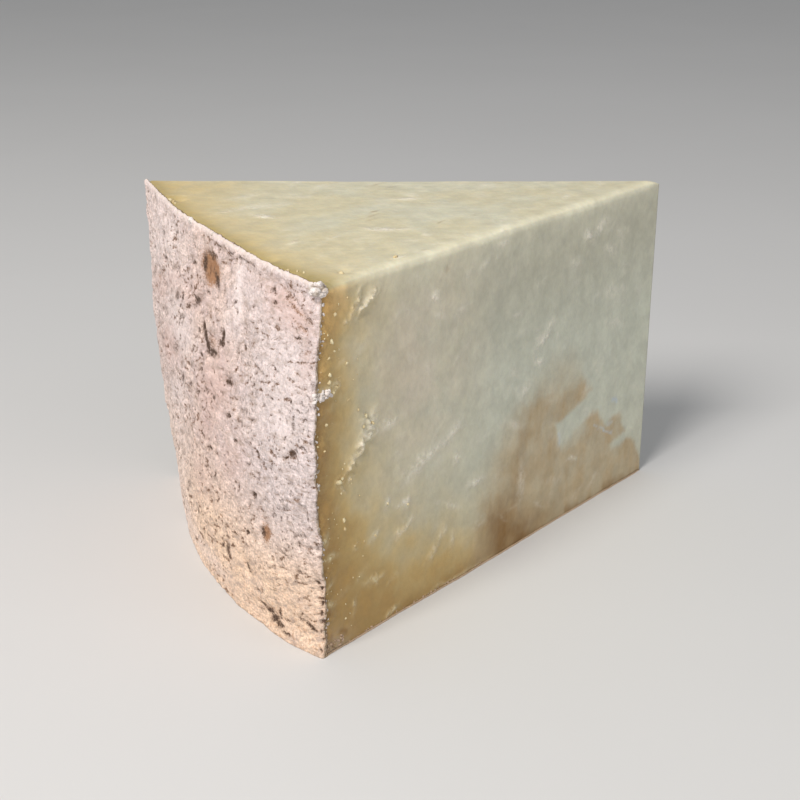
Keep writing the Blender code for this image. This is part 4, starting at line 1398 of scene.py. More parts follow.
def outlined(depth, height, corners):
    """1 well inside an outline and 0 well outside it, each side ending as softly as given."""
    nearest = np.full_like(depth, np.inf)
    softness = np.ones_like(depth)
    inside = np.zeros(len(depth), bool)
    for start, end in zip(corners, corners[1:] + corners[:1]):
        off, share = along_segment(depth, height, start, end)
        closer = off < nearest
        nearest = np.where(closer, off, nearest)
        softness = np.where(closer, start[2] + (end[2] - start[2]) * share, softness)
        level = (start[1] > height) != (end[1] > height)
        rise = end[1] - start[1] or MM
        crossing = start[0] + (height - start[1]) * (end[0] - start[0]) / rise
        inside ^= level & (depth < crossing)
    share = np.clip(0.5 + 0.5 * np.where(inside, nearest, -nearest) / softness, 0, 1)
    return share * share * (3 - 2 * share)


def stained(depth, height, places, side):
    """How strongly the stain with its painted reflection, the darker strokes with their painted
    shade, and the cool marks colour each spot of a cut.
    """
    broad, fine = STAIN_WANDER_SIZES
    wander = STAIN_WANDER * (swell(places, broad, 61) + 0.5 * swell(places, fine, 63))
    rise = STAIN_WANDER * (swell(places, broad, 62) + 0.5 * swell(places, fine, 64))
    outline, soaked, cool = STAINS[side]
    here = depth + wander, height + rise
    faint = 1 - np.exp(-np.logaddexp(0, (height + 3 * rise - HAZE_HEIGHT) / HAZE_SOFTNESS))
    faint = np.maximum(HAZE * faint, stroked(*here, GREY_LOBE))
    return outlined(*here, outline) * (1 - faint), stroked(*here, soaked), stroked(*here, cool)


def scattered_smears(seed):
    """Faint pale smears left by the cutting wire, rising towards the point."""
    draw = Random(seed)
    smears = []
    for _ in range(SMEAR_COUNT):
        measures = tuple(draw.uniform(low, high) for low, high in SMEAR_RANGES)
        smears.append(measures + (draw.gauss(*SMEAR_LEAN),))
    return in_mm(4, smears)


def smeared(across, up, places, smears):
    """How strongly the smears mark each spot of a cut."""
    found = np.zeros_like(across)
    across = across + SMEAR_WANDER * swell(places, SMEAR_WANDER_SIZE, 96)
    up = up + SMEAR_WANDER * swell(places, SMEAR_WANDER_SIZE, 97)
    for smear_across, smear_up, half_length, half_width, strength, lean in smears:
        along, aside = along_and_across(across - smear_across, up - smear_up, lean)
        mark = strength * bell(along / half_length) * bell(aside / half_width)
        found = np.maximum(found, mark)
    return found


def scattered_top_smears():
    """Faint pale smears for the top, more of them towards the rind."""
    draw = Random(TOP_SMEAR_SEED)
    smears = []
    for _ in range(TOP_SMEAR_COUNT):
        ahead = TOP_SMEAR_REACH * draw.random() ** TOP_SMEAR_CROWDING
        side = draw.uniform(*TOP_SMEAR_SIDES) * ahead
        length = draw.uniform(*TOP_SMEAR_LENGTHS) * MM
        width = draw.uniform(*TOP_SMEAR_WIDTHS) * MM
        strength = draw.uniform(*TOP_SMEAR_STRENGTHS)
        smears.append((ahead, side, length, width, strength, draw.gauss(*TOP_SMEAR_LEAN)))
    return tuple(smears)


def keep_cut_colours(piece, spots, on_top):
    """Keep the stains with their painted reflection and shade, and the pale curd, each cut's own on
    it and the top's own on top.
    """
    stain, soaked, cool, pale = (np.zeros_like(on_top) for _ in range(4))
    by_front = spots.from_front < spots.from_back
    for side, chosen in ((1, by_front), (-1, ~by_front)):
        here = spots.depth[chosen], spots.height[chosen], spots.plain[chosen]
        stain[chosen], soaked[chosen], cool[chosen] = stained(*here, side)
        listed = SMEARS if side == 1 else ()
        smears = smeared(*here, listed + scattered_smears(SMEAR_SEEDS[side]))
        pale[chosen] = np.maximum(smears, torn_curd(*here, *TORN[side])[1])
    half = WEDGE_ANGLE / 2
    ahead, aside = spots.reach * np.cos(spots.turn * half), -spots.reach * np.sin(spots.turn * half)
    here = ahead, aside, spots.plain
    specks = smeared(*here, TOP_SPECKS)
    top_pale = smeared(*here, TOP_SMEARS + scattered_top_smears())
    keep_values(
        piece,
        stain=stain * (1 - on_top),
        soaked=np.maximum(soaked * (1 - on_top), specks * on_top),
        cool=cool * (1 - on_top),
        pale=pale * (1 - on_top) + top_pale * on_top,
    )


def colour_paste(piece, spots):
    """Work out and keep the fields that the paste's material mixes its colours by."""
    depth, height = np.maximum(0, spots.depth), spots.height
    on_top = bell(spots.from_top / (0.5 * MM))
    uneven = 1 + 0.30 * swell(spots.plain, 14 * MM, 71) + 0.15 * swell(spots.plain, 5 * MM, 72)
    reach = uneven * (TAN_DEPTH + TAN_LOW_DEPTH * bell(height / TAN_LOW_HEIGHT))
    by_rind = np.exp(-((depth / reach) ** TAN_STEEPNESS))
    by_rind *= 1 - TAN_FADING * (height / HEIGHT) ** TAN_STEEPNESS
    near, far = TAN_FOOT_ENDS
    strength, weaker = TAN_FOOT_STRENGTHS
    foot = TAN_FOOT * (0.5 + 0.5 * uneven)
    by_foot = np.exp(-((height / foot) ** TAN_FOOT_STEEPNESS))
    by_foot *= strength - weaker * np.clip((depth - near) / (far - near), 0, 1)
    tan = 1 - (1 - by_rind) * (1 - by_foot)
    top_reach = TOP_TAN_DEPTH + TOP_TAN_BACK * np.maximum(0, -spots.turn) ** 2
    on_top_tan = np.exp(-depth / (top_reach * uneven))
    low, high = GREY_DEPTHS
    lowest, highest = DUSK_HEIGHTS
    # Painted highlight below the top edge on the cuts, and along the cut edges on the top
    below = np.exp(-np.maximum(0, spots.from_top - BLOOM_DROP) / BLOOM_DEPTH)
    worn = np.exp(-np.minimum(spots.from_front, spots.from_back) / EDGE_BLOOM)
    bloom = BLOOM_STRENGTH * below * (1 - on_top) + worn * on_top
    place_depth, place_height, half_length, half_width = ROSY_PLACE
    rosy = bell((depth - place_depth) / half_length) * bell((height - place_height) / half_width)
    by_corner = np.maximum(0, spots.turn) ** OLIVE_CORNER
    olive = np.exp(-((depth / (OLIVE_DEPTH * (1 + by_corner))) ** 2)) * (0.8 + 0.5 * by_corner)
    mould = bell(depth / MOULD_SIZES[0]) * bell(height / MOULD_SIZES[1])
    keep_values(
        piece,
        tan=tan * (1 - on_top) + on_top_tan * on_top,
        bloom=bloom * np.clip((depth - BLOOM_START) / BLOOM_RUN, 0, 1) ** BLOOM_GROWTH,
        rosy=rosy * (1 - on_top),
        rise=height / HEIGHT,
        olive=olive * on_top,
        mould=mould * (1 - on_top),
        seam=np.exp(-depth / SEAM_DEPTH) * (1 - on_top),
        grey=np.clip((depth - low) / (high - low), 0, 1) * (1 - on_top),
        dusk=np.clip((height - lowest) / (highest - lowest), 0, 1) * (1 - on_top),
        top=on_top,
    )
    keep_cut_colours(piece, spots, on_top)


def colour_rind(piece, spots):
    """Keep where each point of the rind lies on it, and the marks that it bears."""
    where = np.stack((spots.turn * HALF_ARC, spots.height, spots.depth), axis=1) / MM
    marks = {name: getattr(spots, name) for name in ("dark", "brown", "pale", "rose", "skin")}
    keep_values(piece, where=where, **marks)


# --- Crumbs and frays -----------------------------------------------------------------

LUMP_DETAIL = 2
LUMP_ROUGHNESS = 0.55
LUMP_STEP = 3.7
LUMP_STRETCHES = (0.65, 1.25)
# Crumbs of paste that show on the front cut: depth, height, half width
CRUMBS = in_mm(3, (
    (6.5, 98.4, 0.65), (5.3, 91.6, 0.75), (7.0, 88.6, 0.55), (4.9, 87.2, 0.50), (12.0, 84.1, 0.65),
    (5.3, 82.7, 0.75), (17.7, 69.6, 0.55), (21.1, 66.7, 0.80), (22.8, 64.4, 0.60),
    (19.9, 64.1, 0.65), (9.6, 51.0, 1.15), (11.0, 51.6, 0.60), (14.5, 50.2, 0.50),
    (10.4, 47.4, 0.45), (10.7, 39.1, 0.85), (10.9, 36.3, 0.60), (29.1, 37.5, 0.50),
    (37.9, 34.1, 0.65), (23.3, 29.6, 0.60), (14.5, 29.6, 0.40), (4.3, 29.6, 0.60),
    (8.4, 78.6, 0.85), (5.2, 80.6, 0.70), (7.2, 77.4, 0.70), (5.0, 69.0, 0.60),
))
# Those on the top: way back from the point, side towards the hidden cut, half width
TOP_CRUMBS = in_mm(3, (
    (144.0, -58.2, 0.85), (124.5, -50.6, 0.65), (158.4, 38.6, 1.10), (158.0, 36.4, 0.80),
    (157.9, 34.6, 0.60), (155.8, -50.4, 0.55), (154.0, -52.2, 0.45), (153.0, -54.4, 0.40),
))
CRUMB_COUNTS = {1: 75, -1: 50}
CRUMB_SIZES = (0.14 * MM, 0.33 * MM)
CRUMB_BAND = 17 * MM
CRUMB_LEAST_DEPTH = 1.5 * MM
CRUMB_CROWDING = 2.2
# What the listed crumbs on the front cut are shrunk to
CRUMB_SHRUNK = 0.8
CRUMB_SEED = 61
# The frayed tuft at the front corner: how many lumps, its middle above the rim and how deep in,
# its half widths, how many of those it reaches at most, and half widths of the lumps
TUFT_COUNT = 70
TUFT_RISE = 0.4 * MM
TUFT_DEPTH = 0.9 * MM
TUFT_WIDTHS = (1.15 * MM, 1.15 * MM, 0.85 * MM)
TUFT_LIMIT = 1.75
TUFT_SIZES = (0.42 * MM, 0.92 * MM)
# Loose bits of cloth: how many, range of turns, of depths, of heights, of half widths
RIM_FRAYS = (
    90,
    (-0.97, 0.97),
    (0.7 * MM, 1.4 * MM),
    (106.5 * MM, 106.8 * MM),
    (0.18 * MM, 0.42 * MM),
)
EDGE_FRAYS = (110, (1, 1), (0.9 * MM, 2.1 * MM), (2 * MM, 102 * MM), (0.22 * MM, 0.50 * MM))
FOOT_FRAYS = (60, (1, 1), (0.5 * MM, 76 * MM), (0.6 * MM, 1.1 * MM), (0.14 * MM, 0.30 * MM))
CORNER_FRAYS = (40, (1, 1), (0.5 * MM, 8 * MM), (0.9 * MM, 4.5 * MM), (0.25 * MM, 0.50 * MM))
RAG_FRAYS = (36, (1, 1), (0.5 * MM, 7.5 * MM), (76.4 * MM, 78.6 * MM), (0.35 * MM, 0.80 * MM))
# Three flaps of cloth that stand up from the rim: turn, depth, half width
FLAPS = ((-0.186, 0.7 * MM, 0.95 * MM), (-0.170, 0.5 * MM, 0.70 * MM), (0.085, 0.9 * MM, 1.05 * MM))
FRAY_SEED = 62
FRAY_CROWDING = 1.5


def lump_shape():
    """A small ball to shape lumps from: its points and its faces."""
    ball = bmesh.new()
    bmesh.ops.create_icosphere(ball, subdivisions=LUMP_DETAIL, radius=1.0)
    points = np.array([vert.co for vert in ball.verts])
    faces = np.array([[vert.index for vert in face.verts] for face in ball.faces])
    ball.free()
    return points, faces


def join_lumps(name, lumps, seed):
    """One piece of many uneven closed lumps, each given by its place and its half width."""
    draw = np.random.default_rng(seed)
    ball, ball_faces = lump_shape()
    points, faces = [], []
    for number, (place, half_width) in enumerate(lumps):
        rough = 1 + LUMP_ROUGHNESS * swell(ball + LUMP_STEP * number, 1.0, 1)
        shape = ball * rough[:, None] * draw.uniform(*LUMP_STRETCHES, 3) * half_width
        turned = Euler(draw.uniform(0, 2 * pi, 3)).to_matrix()
        points.append(shape @ np.array(turned) + place)
        faces.append(ball_faces + len(ball) * number)
    mesh = bpy.data.meshes.new(name)
    mesh.from_pydata(np.concatenate(points).tolist(), [], np.concatenate(faces).tolist())
    mesh.shade_smooth()
    piece = bpy.data.objects.new(name, mesh)
    bpy.context.scene.collection.objects.link(piece)
    return piece


def on_wedge(depth, turn, height):
    """Places on the finished paste at these depths, turns and heights."""
    depth, turn, height = np.broadcast_arrays(depth, turn, height)
    reach = wall_reach(turn, height / HEIGHT) - depth
    return Spots(np.stack((reach, turn, height), axis=1), False).carried()


def sized(places, half_widths):
    return list(zip(places, half_widths))


def crumb_lumps():
    """The listed crumbs, and finer ones strewn on both cuts near the rind."""
    depth, height, half_width = np.array(CRUMBS).T
    lumps = sized(on_wedge(depth, 1.0, height), CRUMB_SHRUNK * half_width)
    ahead, aside, half_width = np.array(TOP_CRUMBS).T
    turn = -np.arctan2(aside, ahead) / (WEDGE_ANGLE / 2)
    depth = wall_reach(turn, np.ones_like(turn)) - np.hypot(ahead, aside)
    lumps += sized(on_wedge(depth, turn, HEIGHT), half_width)
    draw = np.random.default_rng(CRUMB_SEED)
    for side, count in CRUMB_COUNTS.items():
        depth = CRUMB_LEAST_DEPTH + CRUMB_BAND * draw.random(count) ** CRUMB_CROWDING
        height = HEIGHT * draw.uniform(0.01, 0.98, count)
        lumps += sized(on_wedge(depth, float(side), height), draw.uniform(*CRUMB_SIZES, count))
    return lumps


def tuft_lumps(draw):
    """The tuft of torn cloth that stands at the front corner."""
    corner = on_wedge(np.array([TUFT_DEPTH]), 1.0, HEIGHT)[0] + (0, 0, TUFT_RISE)
    spread = draw.normal(0, 1, (TUFT_COUNT, 3))
    spread *= np.minimum(1, TUFT_LIMIT / np.linalg.norm(spread, axis=1))[:, None]
    return sized(corner + spread * TUFT_WIDTHS, draw.uniform(*TUFT_SIZES, TUFT_COUNT))


def fray_lumps():
    """Torn bits of the cloth along the rim, the cut edges and the foot."""
    draw = np.random.default_rng(FRAY_SEED)
    lumps = tuft_lumps(draw)
    turn, depth, half_width = np.array(FLAPS).T
    lumps += sized(on_wedge(depth, turn, HEIGHT), half_width)
    for side in (1, -1):
        kinds = (FOOT_FRAYS, CORNER_FRAYS)
        kinds += (EDGE_FRAYS, RIM_FRAYS, RAG_FRAYS) if side == 1 else ()
        for count, turns, depths, heights, half_widths in kinds:
            turn = side * draw.uniform(*turns, count)
            depth = depths[0] + (depths[1] - depths[0]) * draw.random(count) ** FRAY_CROWDING
            height = np.minimum(HEIGHT, draw.uniform(*heights, count))
            lumps += sized(on_wedge(depth, turn, height), draw.uniform(*half_widths, count))
    return lumps


# --- Materials ------------------------------------------------------------------------


class Recipe:
    """One material and the nodes that make it."""

    def __init__(self, name):
        self.material = bpy.data.materials.new(name)
        self.material.use_nodes = True
        self.tree = self.material.node_tree
        self.shader = self.tree.nodes["Principled BSDF"]

    def feed(self, socket, value):
        if isinstance(value, bpy.types.NodeSocket):
            self.tree.links.new(value, socket)
        elif value is not None:
            socket.default_value = value

    def node(self, kind, inputs=(), **settings):
        made = self.tree.nodes.new("ShaderNode" + kind)
        for name, value in settings.items():
            setattr(made, name, value)
        for name, value in dict(inputs).items():
            self.feed(made.inputs[name], value)
        return made

    def kept(self, name):
        """A number that was kept for each point."""
        return self.node("Attribute", attribute_name=name).outputs["Fac"]

    def kept_place(self, name):
        return self.node("Attribute", attribute_name=name).outputs["Vector"]

    def place(self):
        return self.node("TexCoord").outputs["Object"]

    def stretched(self, place, scale, turn=0.0):
        """Coordinates turned by an angle in their first two axes and then scaled."""
        turned = self.node("Mapping", {"Vector": place, "Rotation": (0, 0, turn)})
        scaled = self.node("Mapping", {"Vector": turned.outputs["Vector"], "Scale": scale})
        return scaled.outputs["Vector"]

    def noise(self, place, scale, detail=2.0, roughness=0.5, distortion=0.0):
        inputs = {
            "Vector": place,
            "Scale": scale,
            "Detail": detail,
            "Roughness": roughness,
            "Distortion": distortion,
        }
        return self.node("TexNoise", inputs).outputs["Fac"]

    def cells(self, place, scale, feature="F1"):
        made = self.node("TexVoronoi", {"Vector": place, "Scale": scale}, feature=feature)
        return made.outputs["Distance"]

    def span(self, value, low, high, to_low=0.0, to_high=1.0):
        """Carry the range low to high onto another one, held at its ends."""
        inputs = {
            "Value": value,
            "From Min": low,
            "From Max": high,
            "To Min": to_low,
            "To Max": to_high,
        }
        return self.node("MapRange", inputs, interpolation_type="SMOOTHSTEP").outputs["Result"]

    def sum(self, operation, first, second):
        made = self.node("Math", operation=operation)
        self.feed(made.inputs[0], first)
        self.feed(made.inputs[1], second)
        return made.outputs["Value"]

    def times(self, first, second):
        return self.sum("MULTIPLY", first, second)

    def plus(self, first, second):
        return self.sum("ADD", first, second)

    def mix(self, share, first, second, blend="MIX"):
        made = self.node("Mix", data_type="RGBA", blend_type=blend)
        self.feed(made.inputs[0], share)
        self.feed(made.inputs[6], first)
        self.feed(made.inputs[7], second)
        return made.outputs[2]

    def shaded(self, colour, factor):
        """A colour multiplied by a factor, or by another colour."""
        return self.mix(1.0, colour, factor, blend="MULTIPLY")

    def bump(self, height, distance, strength=1.0, below=None):
        inputs = {"Height": height, "Distance": distance, "Strength": strength, "Normal": below}
        return self.node("Bump", inputs).outputs["Normal"]

    def finish(self, colour, roughness, normal, **constants):
        self.feed(self.shader.inputs["Base Color"], colour)
        self.feed(self.shader.inputs["Roughness"], roughness)
        self.feed(self.shader.inputs["Normal"], normal)
        for name, value in constants.items():
            self.shader.inputs[name.replace("_", " ")].default_value = value
        return self.material


def tone(red, green, blue):
    return (red, green, blue, 1.0)


PASTE_WARM = tone(0.64, 0.58, 0.39)
PASTE_COOL = tone(0.62, 0.59, 0.44)
PASTE_GREY = tone(0.575, 0.59, 0.49)
PASTE_DUSK = tone(0.51, 0.50, 0.40)
PASTE_ROSY = tone(0.66, 0.585, 0.47)
PASTE_GOLD = tone(0.57, 0.41, 0.17)
PASTE_TAN = tone(0.37, 0.225, 0.082)
PASTE_LOW_TAN = tone(0.41, 0.255, 0.088)
PASTE_HIGH_TAN = tone(0.67, 0.405, 0.145)
PASTE_TOP_TAN = tone(0.62, 0.45, 0.18)
PASTE_OLIVE = tone(0.29, 0.225, 0.075)
PASTE_SEAM = tone(0.27, 0.150, 0.055)
PASTE_OCHRE = tone(0.495, 0.375, 0.22)
# Colour of the darkest stain and of the painted shade along the foot
PASTE_STAIN = tone(0.245, 0.124, 0.030)
PASTE_BLUE = tone(0.52, 0.58, 0.62)
PASTE_PALE = tone(0.90, 0.83, 0.70)
PASTE_MOULD = tone(0.50, 0.42, 0.34)
PASTE_WARM_PALE = tone(0.70, 0.58, 0.35)
# Colour of the painted edge highlight
PASTE_BLOOM = tone(0.82, 0.77, 0.58)
CRUMB_PALE = tone(0.74, 0.64, 0.40)
CRUMB_GOLD = tone(0.60, 0.46, 0.24)
FRAY_PALE = tone(0.86, 0.78, 0.74)
FRAY_GREY = tone(0.60, 0.52, 0.46)
FRAY_BROWN = tone(0.38, 0.29, 0.20)
FRAY_LOW = tone(0.72, 0.58, 0.44)
RIND_CREAM = tone(0.74, 0.57, 0.50)
RIND_MAUVE = tone(0.66, 0.52, 0.485)
RIND_GREY = tone(0.49, 0.38, 0.33)
RIND_PEACH = tone(0.82, 0.60, 0.44)
RIND_WHITE = tone(0.62, 0.535, 0.525)
RIND_LEFT = tone(0.80, 0.675, 0.635)
RIND_BARE = tone(0.86, 0.74, 0.71)
RIND_ROSE = tone(0.655, 0.465, 0.415)
RIND_TAUPE = tone(0.42, 0.315, 0.26)
RIND_DASH = tone(0.34, 0.25, 0.20)
RIND_DARK = tone(0.070, 0.036, 0.020)
RIND_BROWN = tone(0.32, 0.150, 0.060)
RIND_RIM = tone(0.74, 0.62, 0.54)
RIND_SEAM = tone(0.20, 0.13, 0.06)
RIND_SECTION = tone(0.55, 0.44, 0.34)
RIND_FOOT = tone(0.60, 0.42, 0.27)


def paste_material():
    recipe = Recipe("cheddar_paste")
    place = recipe.place()
    broad = recipe.noise(place, 45, detail=3)
    fine = recipe.noise(place, 520, detail=3, roughness=0.6)
    curds = recipe.cells(place, 190, feature="SMOOTH_F1")
    top = recipe.kept("top")

    colour = recipe.mix(recipe.span(broad, 0.38, 0.62), PASTE_WARM, PASTE_COOL)
    # Painted grey sheen and shade away from the rind, with painted shade towards the top
    grey = recipe.mix(recipe.kept("dusk"), PASTE_GREY, PASTE_DUSK)
    colour = recipe.mix(recipe.kept("grey"), colour, grey)
    # Painted rosy sheen in the middle of the front cut
    rosy = recipe.span(recipe.noise(place, 62, detail=3, roughness=0.6), 0.30, 0.62, 0.30, 0.85)
    colour = recipe.mix(recipe.times(rosy, recipe.kept("rosy")), colour, PASTE_ROSY)
    rise = recipe.kept("rise")
    tan = recipe.mix(recipe.span(rise, 0.15, 0.62), PASTE_LOW_TAN, PASTE_TAN)
    # Painted light: the tan by the rind turns lighter towards the top of the cut
    tan = recipe.mix(recipe.span(rise, 0.66, 0.95), tan, PASTE_HIGH_TAN)
    patchy = recipe.span(recipe.noise(place, 150, detail=2), 0.3, 0.7, 0.86, 1.10)
    share = recipe.times(recipe.kept("tan"), patchy)
    cut_tan = recipe.mix(recipe.span(share, -0.15, 0.75), colour, PASTE_GOLD)
    cut_tan = recipe.mix(recipe.span(share, 0.36, 0.96), cut_tan, tan)
    top_tan = recipe.mix(share, colour, PASTE_TOP_TAN)
    colour = recipe.mix(top, cut_tan, top_tan)
    # Painted contact shadow on the top beside the rind
    olive = recipe.times(recipe.kept("olive"), recipe.span(fine, 0.3, 0.7, 0.6, 1.0))
    colour = recipe.mix(olive, colour, PASTE_OLIVE)
    crumbly = recipe.noise(place, 640, detail=3, roughness=0.65)
    mould = recipe.times(recipe.kept("mould"), recipe.span(crumbly, 0.40, 0.60, 0.45, 1.0))
    colour = recipe.mix(mould, colour, PASTE_MOULD)
    seam = recipe.times(recipe.kept("seam"), recipe.span(crumbly, 0.44, 0.60, 0.10, 1.0))
    colour = recipe.mix(seam, colour, PASTE_SEAM)
    grain = recipe.noise(recipe.stretched(place, (1.0, 1.0, 0.28)), 210, detail=3)
    wander = recipe.span(grain, 0.3, 0.7, 0.78, 1.02)
    cloudy = recipe.noise(place, 105, detail=3, roughness=0.6)
    wander = recipe.times(wander, recipe.span(cloudy, 0.36, 0.64, 0.80, 1.06))
    # The brown stain with its painted reflection of the board, then the darker strokes with painted
    # shade along the foot
    stained = recipe.times(recipe.kept("stain"), wander)
    colour = recipe.mix(stained, colour, PASTE_OCHRE)
    soaked = recipe.times(recipe.kept("soaked"), wander)
    colour = recipe.mix(soaked, colour, PASTE_STAIN)
    colour = recipe.mix(recipe.kept("cool"), colour, PASTE_BLUE)
    # Painted highlight along the top edges
    bloom = recipe.times(recipe.kept("bloom"), recipe.span(broad, 0.3, 0.7, 0.6, 0.85))
    colour = recipe.mix(bloom, colour, PASTE_BLOOM)
    pale = recipe.times(recipe.kept("pale"), recipe.span(crumbly, 0.36, 0.58, 0.35, 1.0))
    pale_tone = recipe.mix(recipe.span(recipe.kept("tan"), 0.15, 0.75), PASTE_PALE, PASTE_WARM_PALE)
    colour = recipe.mix(pale, colour, pale_tone)
    curd = recipe.noise(place, 150, detail=4, roughness=0.55)
    colour = recipe.shaded(colour, recipe.span(curd, 0.3, 0.7, 0.93, 1.07))
    grain = recipe.span(fine, 0.25, 0.75, 0.955, 1.045)
    colour = recipe.shaded(colour, grain)

    roughness = recipe.span(broad, 0.3, 0.7, 0.36, 0.50)
    normal = recipe.bump(curds, 0.00016, strength=0.7)
    normal = recipe.bump(fine, 0.00010, below=normal)
    rough = recipe.sum("MAXIMUM", recipe.kept("pale"), recipe.kept("seam"))
    normal = recipe.bump(recipe.times(rough, crumbly), 0.0007, below=normal)
    return recipe.finish(
        colour,
        roughness,
        normal,
        Subsurface_Weight=0.08,
        Subsurface_Radius=(1.0, 0.62, 0.30),
        Subsurface_Scale=0.003,
        IOR=1.45,
        Specular_IOR_Level=0.3,
    )


def rind_material():
    recipe = Recipe("cheddar_rind")
    where = recipe.kept_place("where")
    split = recipe.node("SeparateXYZ", {"Vector": where})
    across, height = split.outputs["X"], split.outputs["Y"]
    broad = recipe.noise(where, 0.11, detail=3)
    blotch = recipe.noise(where, 0.24, detail=3, roughness=0.6)
    mottle = recipe.noise(where, 0.60, detail=4, roughness=0.6, distortion=0.8)
    lying = recipe.stretched(where, (0.34, 1.15, 1.0), turn=radians(-14))
    dashes = recipe.noise(lying, 0.9, detail=3, roughness=0.6)
    streaks = recipe.noise(lying, 0.42, detail=3, roughness=0.65)
    pebbles = recipe.noise(where, 1.25, detail=2, roughness=0.6)
    fine = recipe.noise(where, 2.2, detail=3, roughness=0.6)

    colour = recipe.mix(recipe.span(broad, 0.36, 0.64), RIND_CREAM, RIND_MAUVE)
    colour = recipe.mix(recipe.span(blotch, 0.52, 0.74, 0.0, 0.75), colour, RIND_GREY)
    # Painted warm bounce light, growing towards the foot of the wall
    low = recipe.times(recipe.span(height, 52, 12), recipe.span(broad, 0.2, 0.6, 0.6, 1.0))
    colour = recipe.mix(low, colour, RIND_PEACH)
    right = recipe.times(recipe.span(across, 12, 55), recipe.span(height, 18, 48))
    colour = recipe.mix(recipe.times(right, 0.75), colour, RIND_WHITE)
    # Painted light: the wall made lighter towards the back corner, which the key light reaches less
    left = recipe.span(across, 5, -35, 0.0, 0.55)
    colour = recipe.mix(left, colour, RIND_LEFT)
    colour = recipe.shaded(colour, recipe.span(mottle, 0.3, 0.7, 0.76, 1.16))
    colour = recipe.shaded(colour, recipe.span(pebbles, 0.32, 0.68, 0.80, 1.14))
    colour = recipe.shaded(colour, recipe.span(fine, 0.30, 0.70, 0.94, 1.15))
    colour = recipe.mix(recipe.span(streaks, 0.42, 0.28, 0.0, 0.55), colour, RIND_DASH)
    colour = recipe.mix(recipe.span(dashes, 0.43, 0.30, 0.0, 0.72), colour, RIND_DASH)
    rusty = recipe.times(recipe.span(height, 27, 6), recipe.span(across, 0, 45))
    rusty = recipe.times(rusty, recipe.span(mottle, 0.50, 0.66, 0.0, 0.55))
    colour = recipe.mix(rusty, colour, RIND_BROWN)
    drawn_out = recipe.stretched(where, (0.20, 0.50, 1.0), turn=radians(-16))
    wisps = recipe.noise(drawn_out, 1.0, detail=4, roughness=0.62, distortion=0.6)
    rose = recipe.times(recipe.kept("rose"), recipe.span(wisps, 0.35, 0.6, 0.55, 1.0))
    colour = recipe.mix(rose, colour, RIND_ROSE)
    colour = recipe.mix(recipe.span(wisps, 0.53, 0.68, 0.0, 0.75), colour, RIND_TAUPE)
    colour = recipe.shaded(colour, recipe.span(wisps, 0.34, 0.50, 1.16, 0.98))
    # Bare pale places, and the painted highlight along the top of the wall
    bare = recipe.times(recipe.kept("pale"), recipe.span(mottle, 0.3, 0.6, 0.5, 1.0))
    colour = recipe.mix(bare, colour, RIND_BARE)
    skin = recipe.kept("skin")
    # Painted highlight on the rim's lit top
    rim = recipe.span(height, 105.7, 106.4)
    edge = recipe.times(rim, recipe.span(skin, 0.25, 0.5, 0.0, 0.8))
    edge = recipe.times(edge, recipe.span(mottle, 0.42, 0.56, 1.0, 0.25))
    colour = recipe.mix(edge, colour, RIND_RIM)
    # Painted shadow line along the inner edge of the rim, where the rind meets the paste
    uneven_skin = recipe.plus(skin, recipe.span(fine, 0.3, 0.7, -0.2, 0.2))
    inner = recipe.times(rim, recipe.span(uneven_skin, 0.38, 0.22))
    colour = recipe.mix(inner, colour, RIND_SEAM)
    section = recipe.times(recipe.span(skin, 0.85, 0.45), recipe.span(height, 106.2, 105.2))
    seam = recipe.mix(recipe.span(mottle, 0.40, 0.58), RIND_SEAM, RIND_SECTION)
    colour = recipe.mix(recipe.times(section, 0.85), colour, seam)
    foot = recipe.times(recipe.span(skin, 0.3, 0.1), recipe.span(height, 2.0, 1.0, 0.0, 0.75))
    colour = recipe.mix(foot, colour, RIND_FOOT)
    finely = recipe.span(fine, 0.3, 0.7, -0.15, 0.15)
    wander = recipe.plus(finely, recipe.span(pebbles, 0.3, 0.7, -0.22, 0.16))
    brown = recipe.span(recipe.plus(recipe.kept("brown"), wander), 0.20, 0.90, 0.0, 0.92)
    colour = recipe.mix(brown, colour, RIND_BROWN)
    dark = recipe.span(recipe.plus(recipe.kept("dark"), wander), 0.12, 0.92)
    colour = recipe.mix(dark, colour, RIND_DARK)

    threads = {"Vector": where, "Scale": 0.30, "Distortion": 1.6}
    warp = recipe.node("TexWave", threads, bands_direction="X")
    weft = recipe.node("TexWave", threads, bands_direction="Y")
    weave = recipe.plus(warp.outputs["Fac"], weft.outputs["Fac"])
    normal = recipe.bump(weave, 0.00006, strength=0.6)
    normal = recipe.bump(mottle, 0.0003, below=normal)
    normal = recipe.bump(fine, 0.00014, below=normal)
    roughness = recipe.span(mottle, 0.3, 0.7, 0.82, 0.95)
    return recipe.finish(
        colour,
        roughness,
        normal,
        Subsurface_Weight=0.05,
        Subsurface_Radius=(1.0, 0.6, 0.4),
        Subsurface_Scale=0.0015,
    )


def crumb_material():
    recipe = Recipe("cheddar_crumb")
    place = recipe.place()
    tint = recipe.noise(place, 330, detail=2)
    fine = recipe.noise(place, 1900, detail=2)
    colour = recipe.mix(recipe.span(tint, 0.36, 0.62), CRUMB_GOLD, CRUMB_PALE)
    colour = recipe.shaded(colour, recipe.span(fine, 0.3, 0.7, 0.90, 1.06))
    normal = recipe.bump(fine, 0.00012)
    return recipe.finish(colour, recipe.span(fine, 0.3, 0.7, 0.5, 0.7), normal)


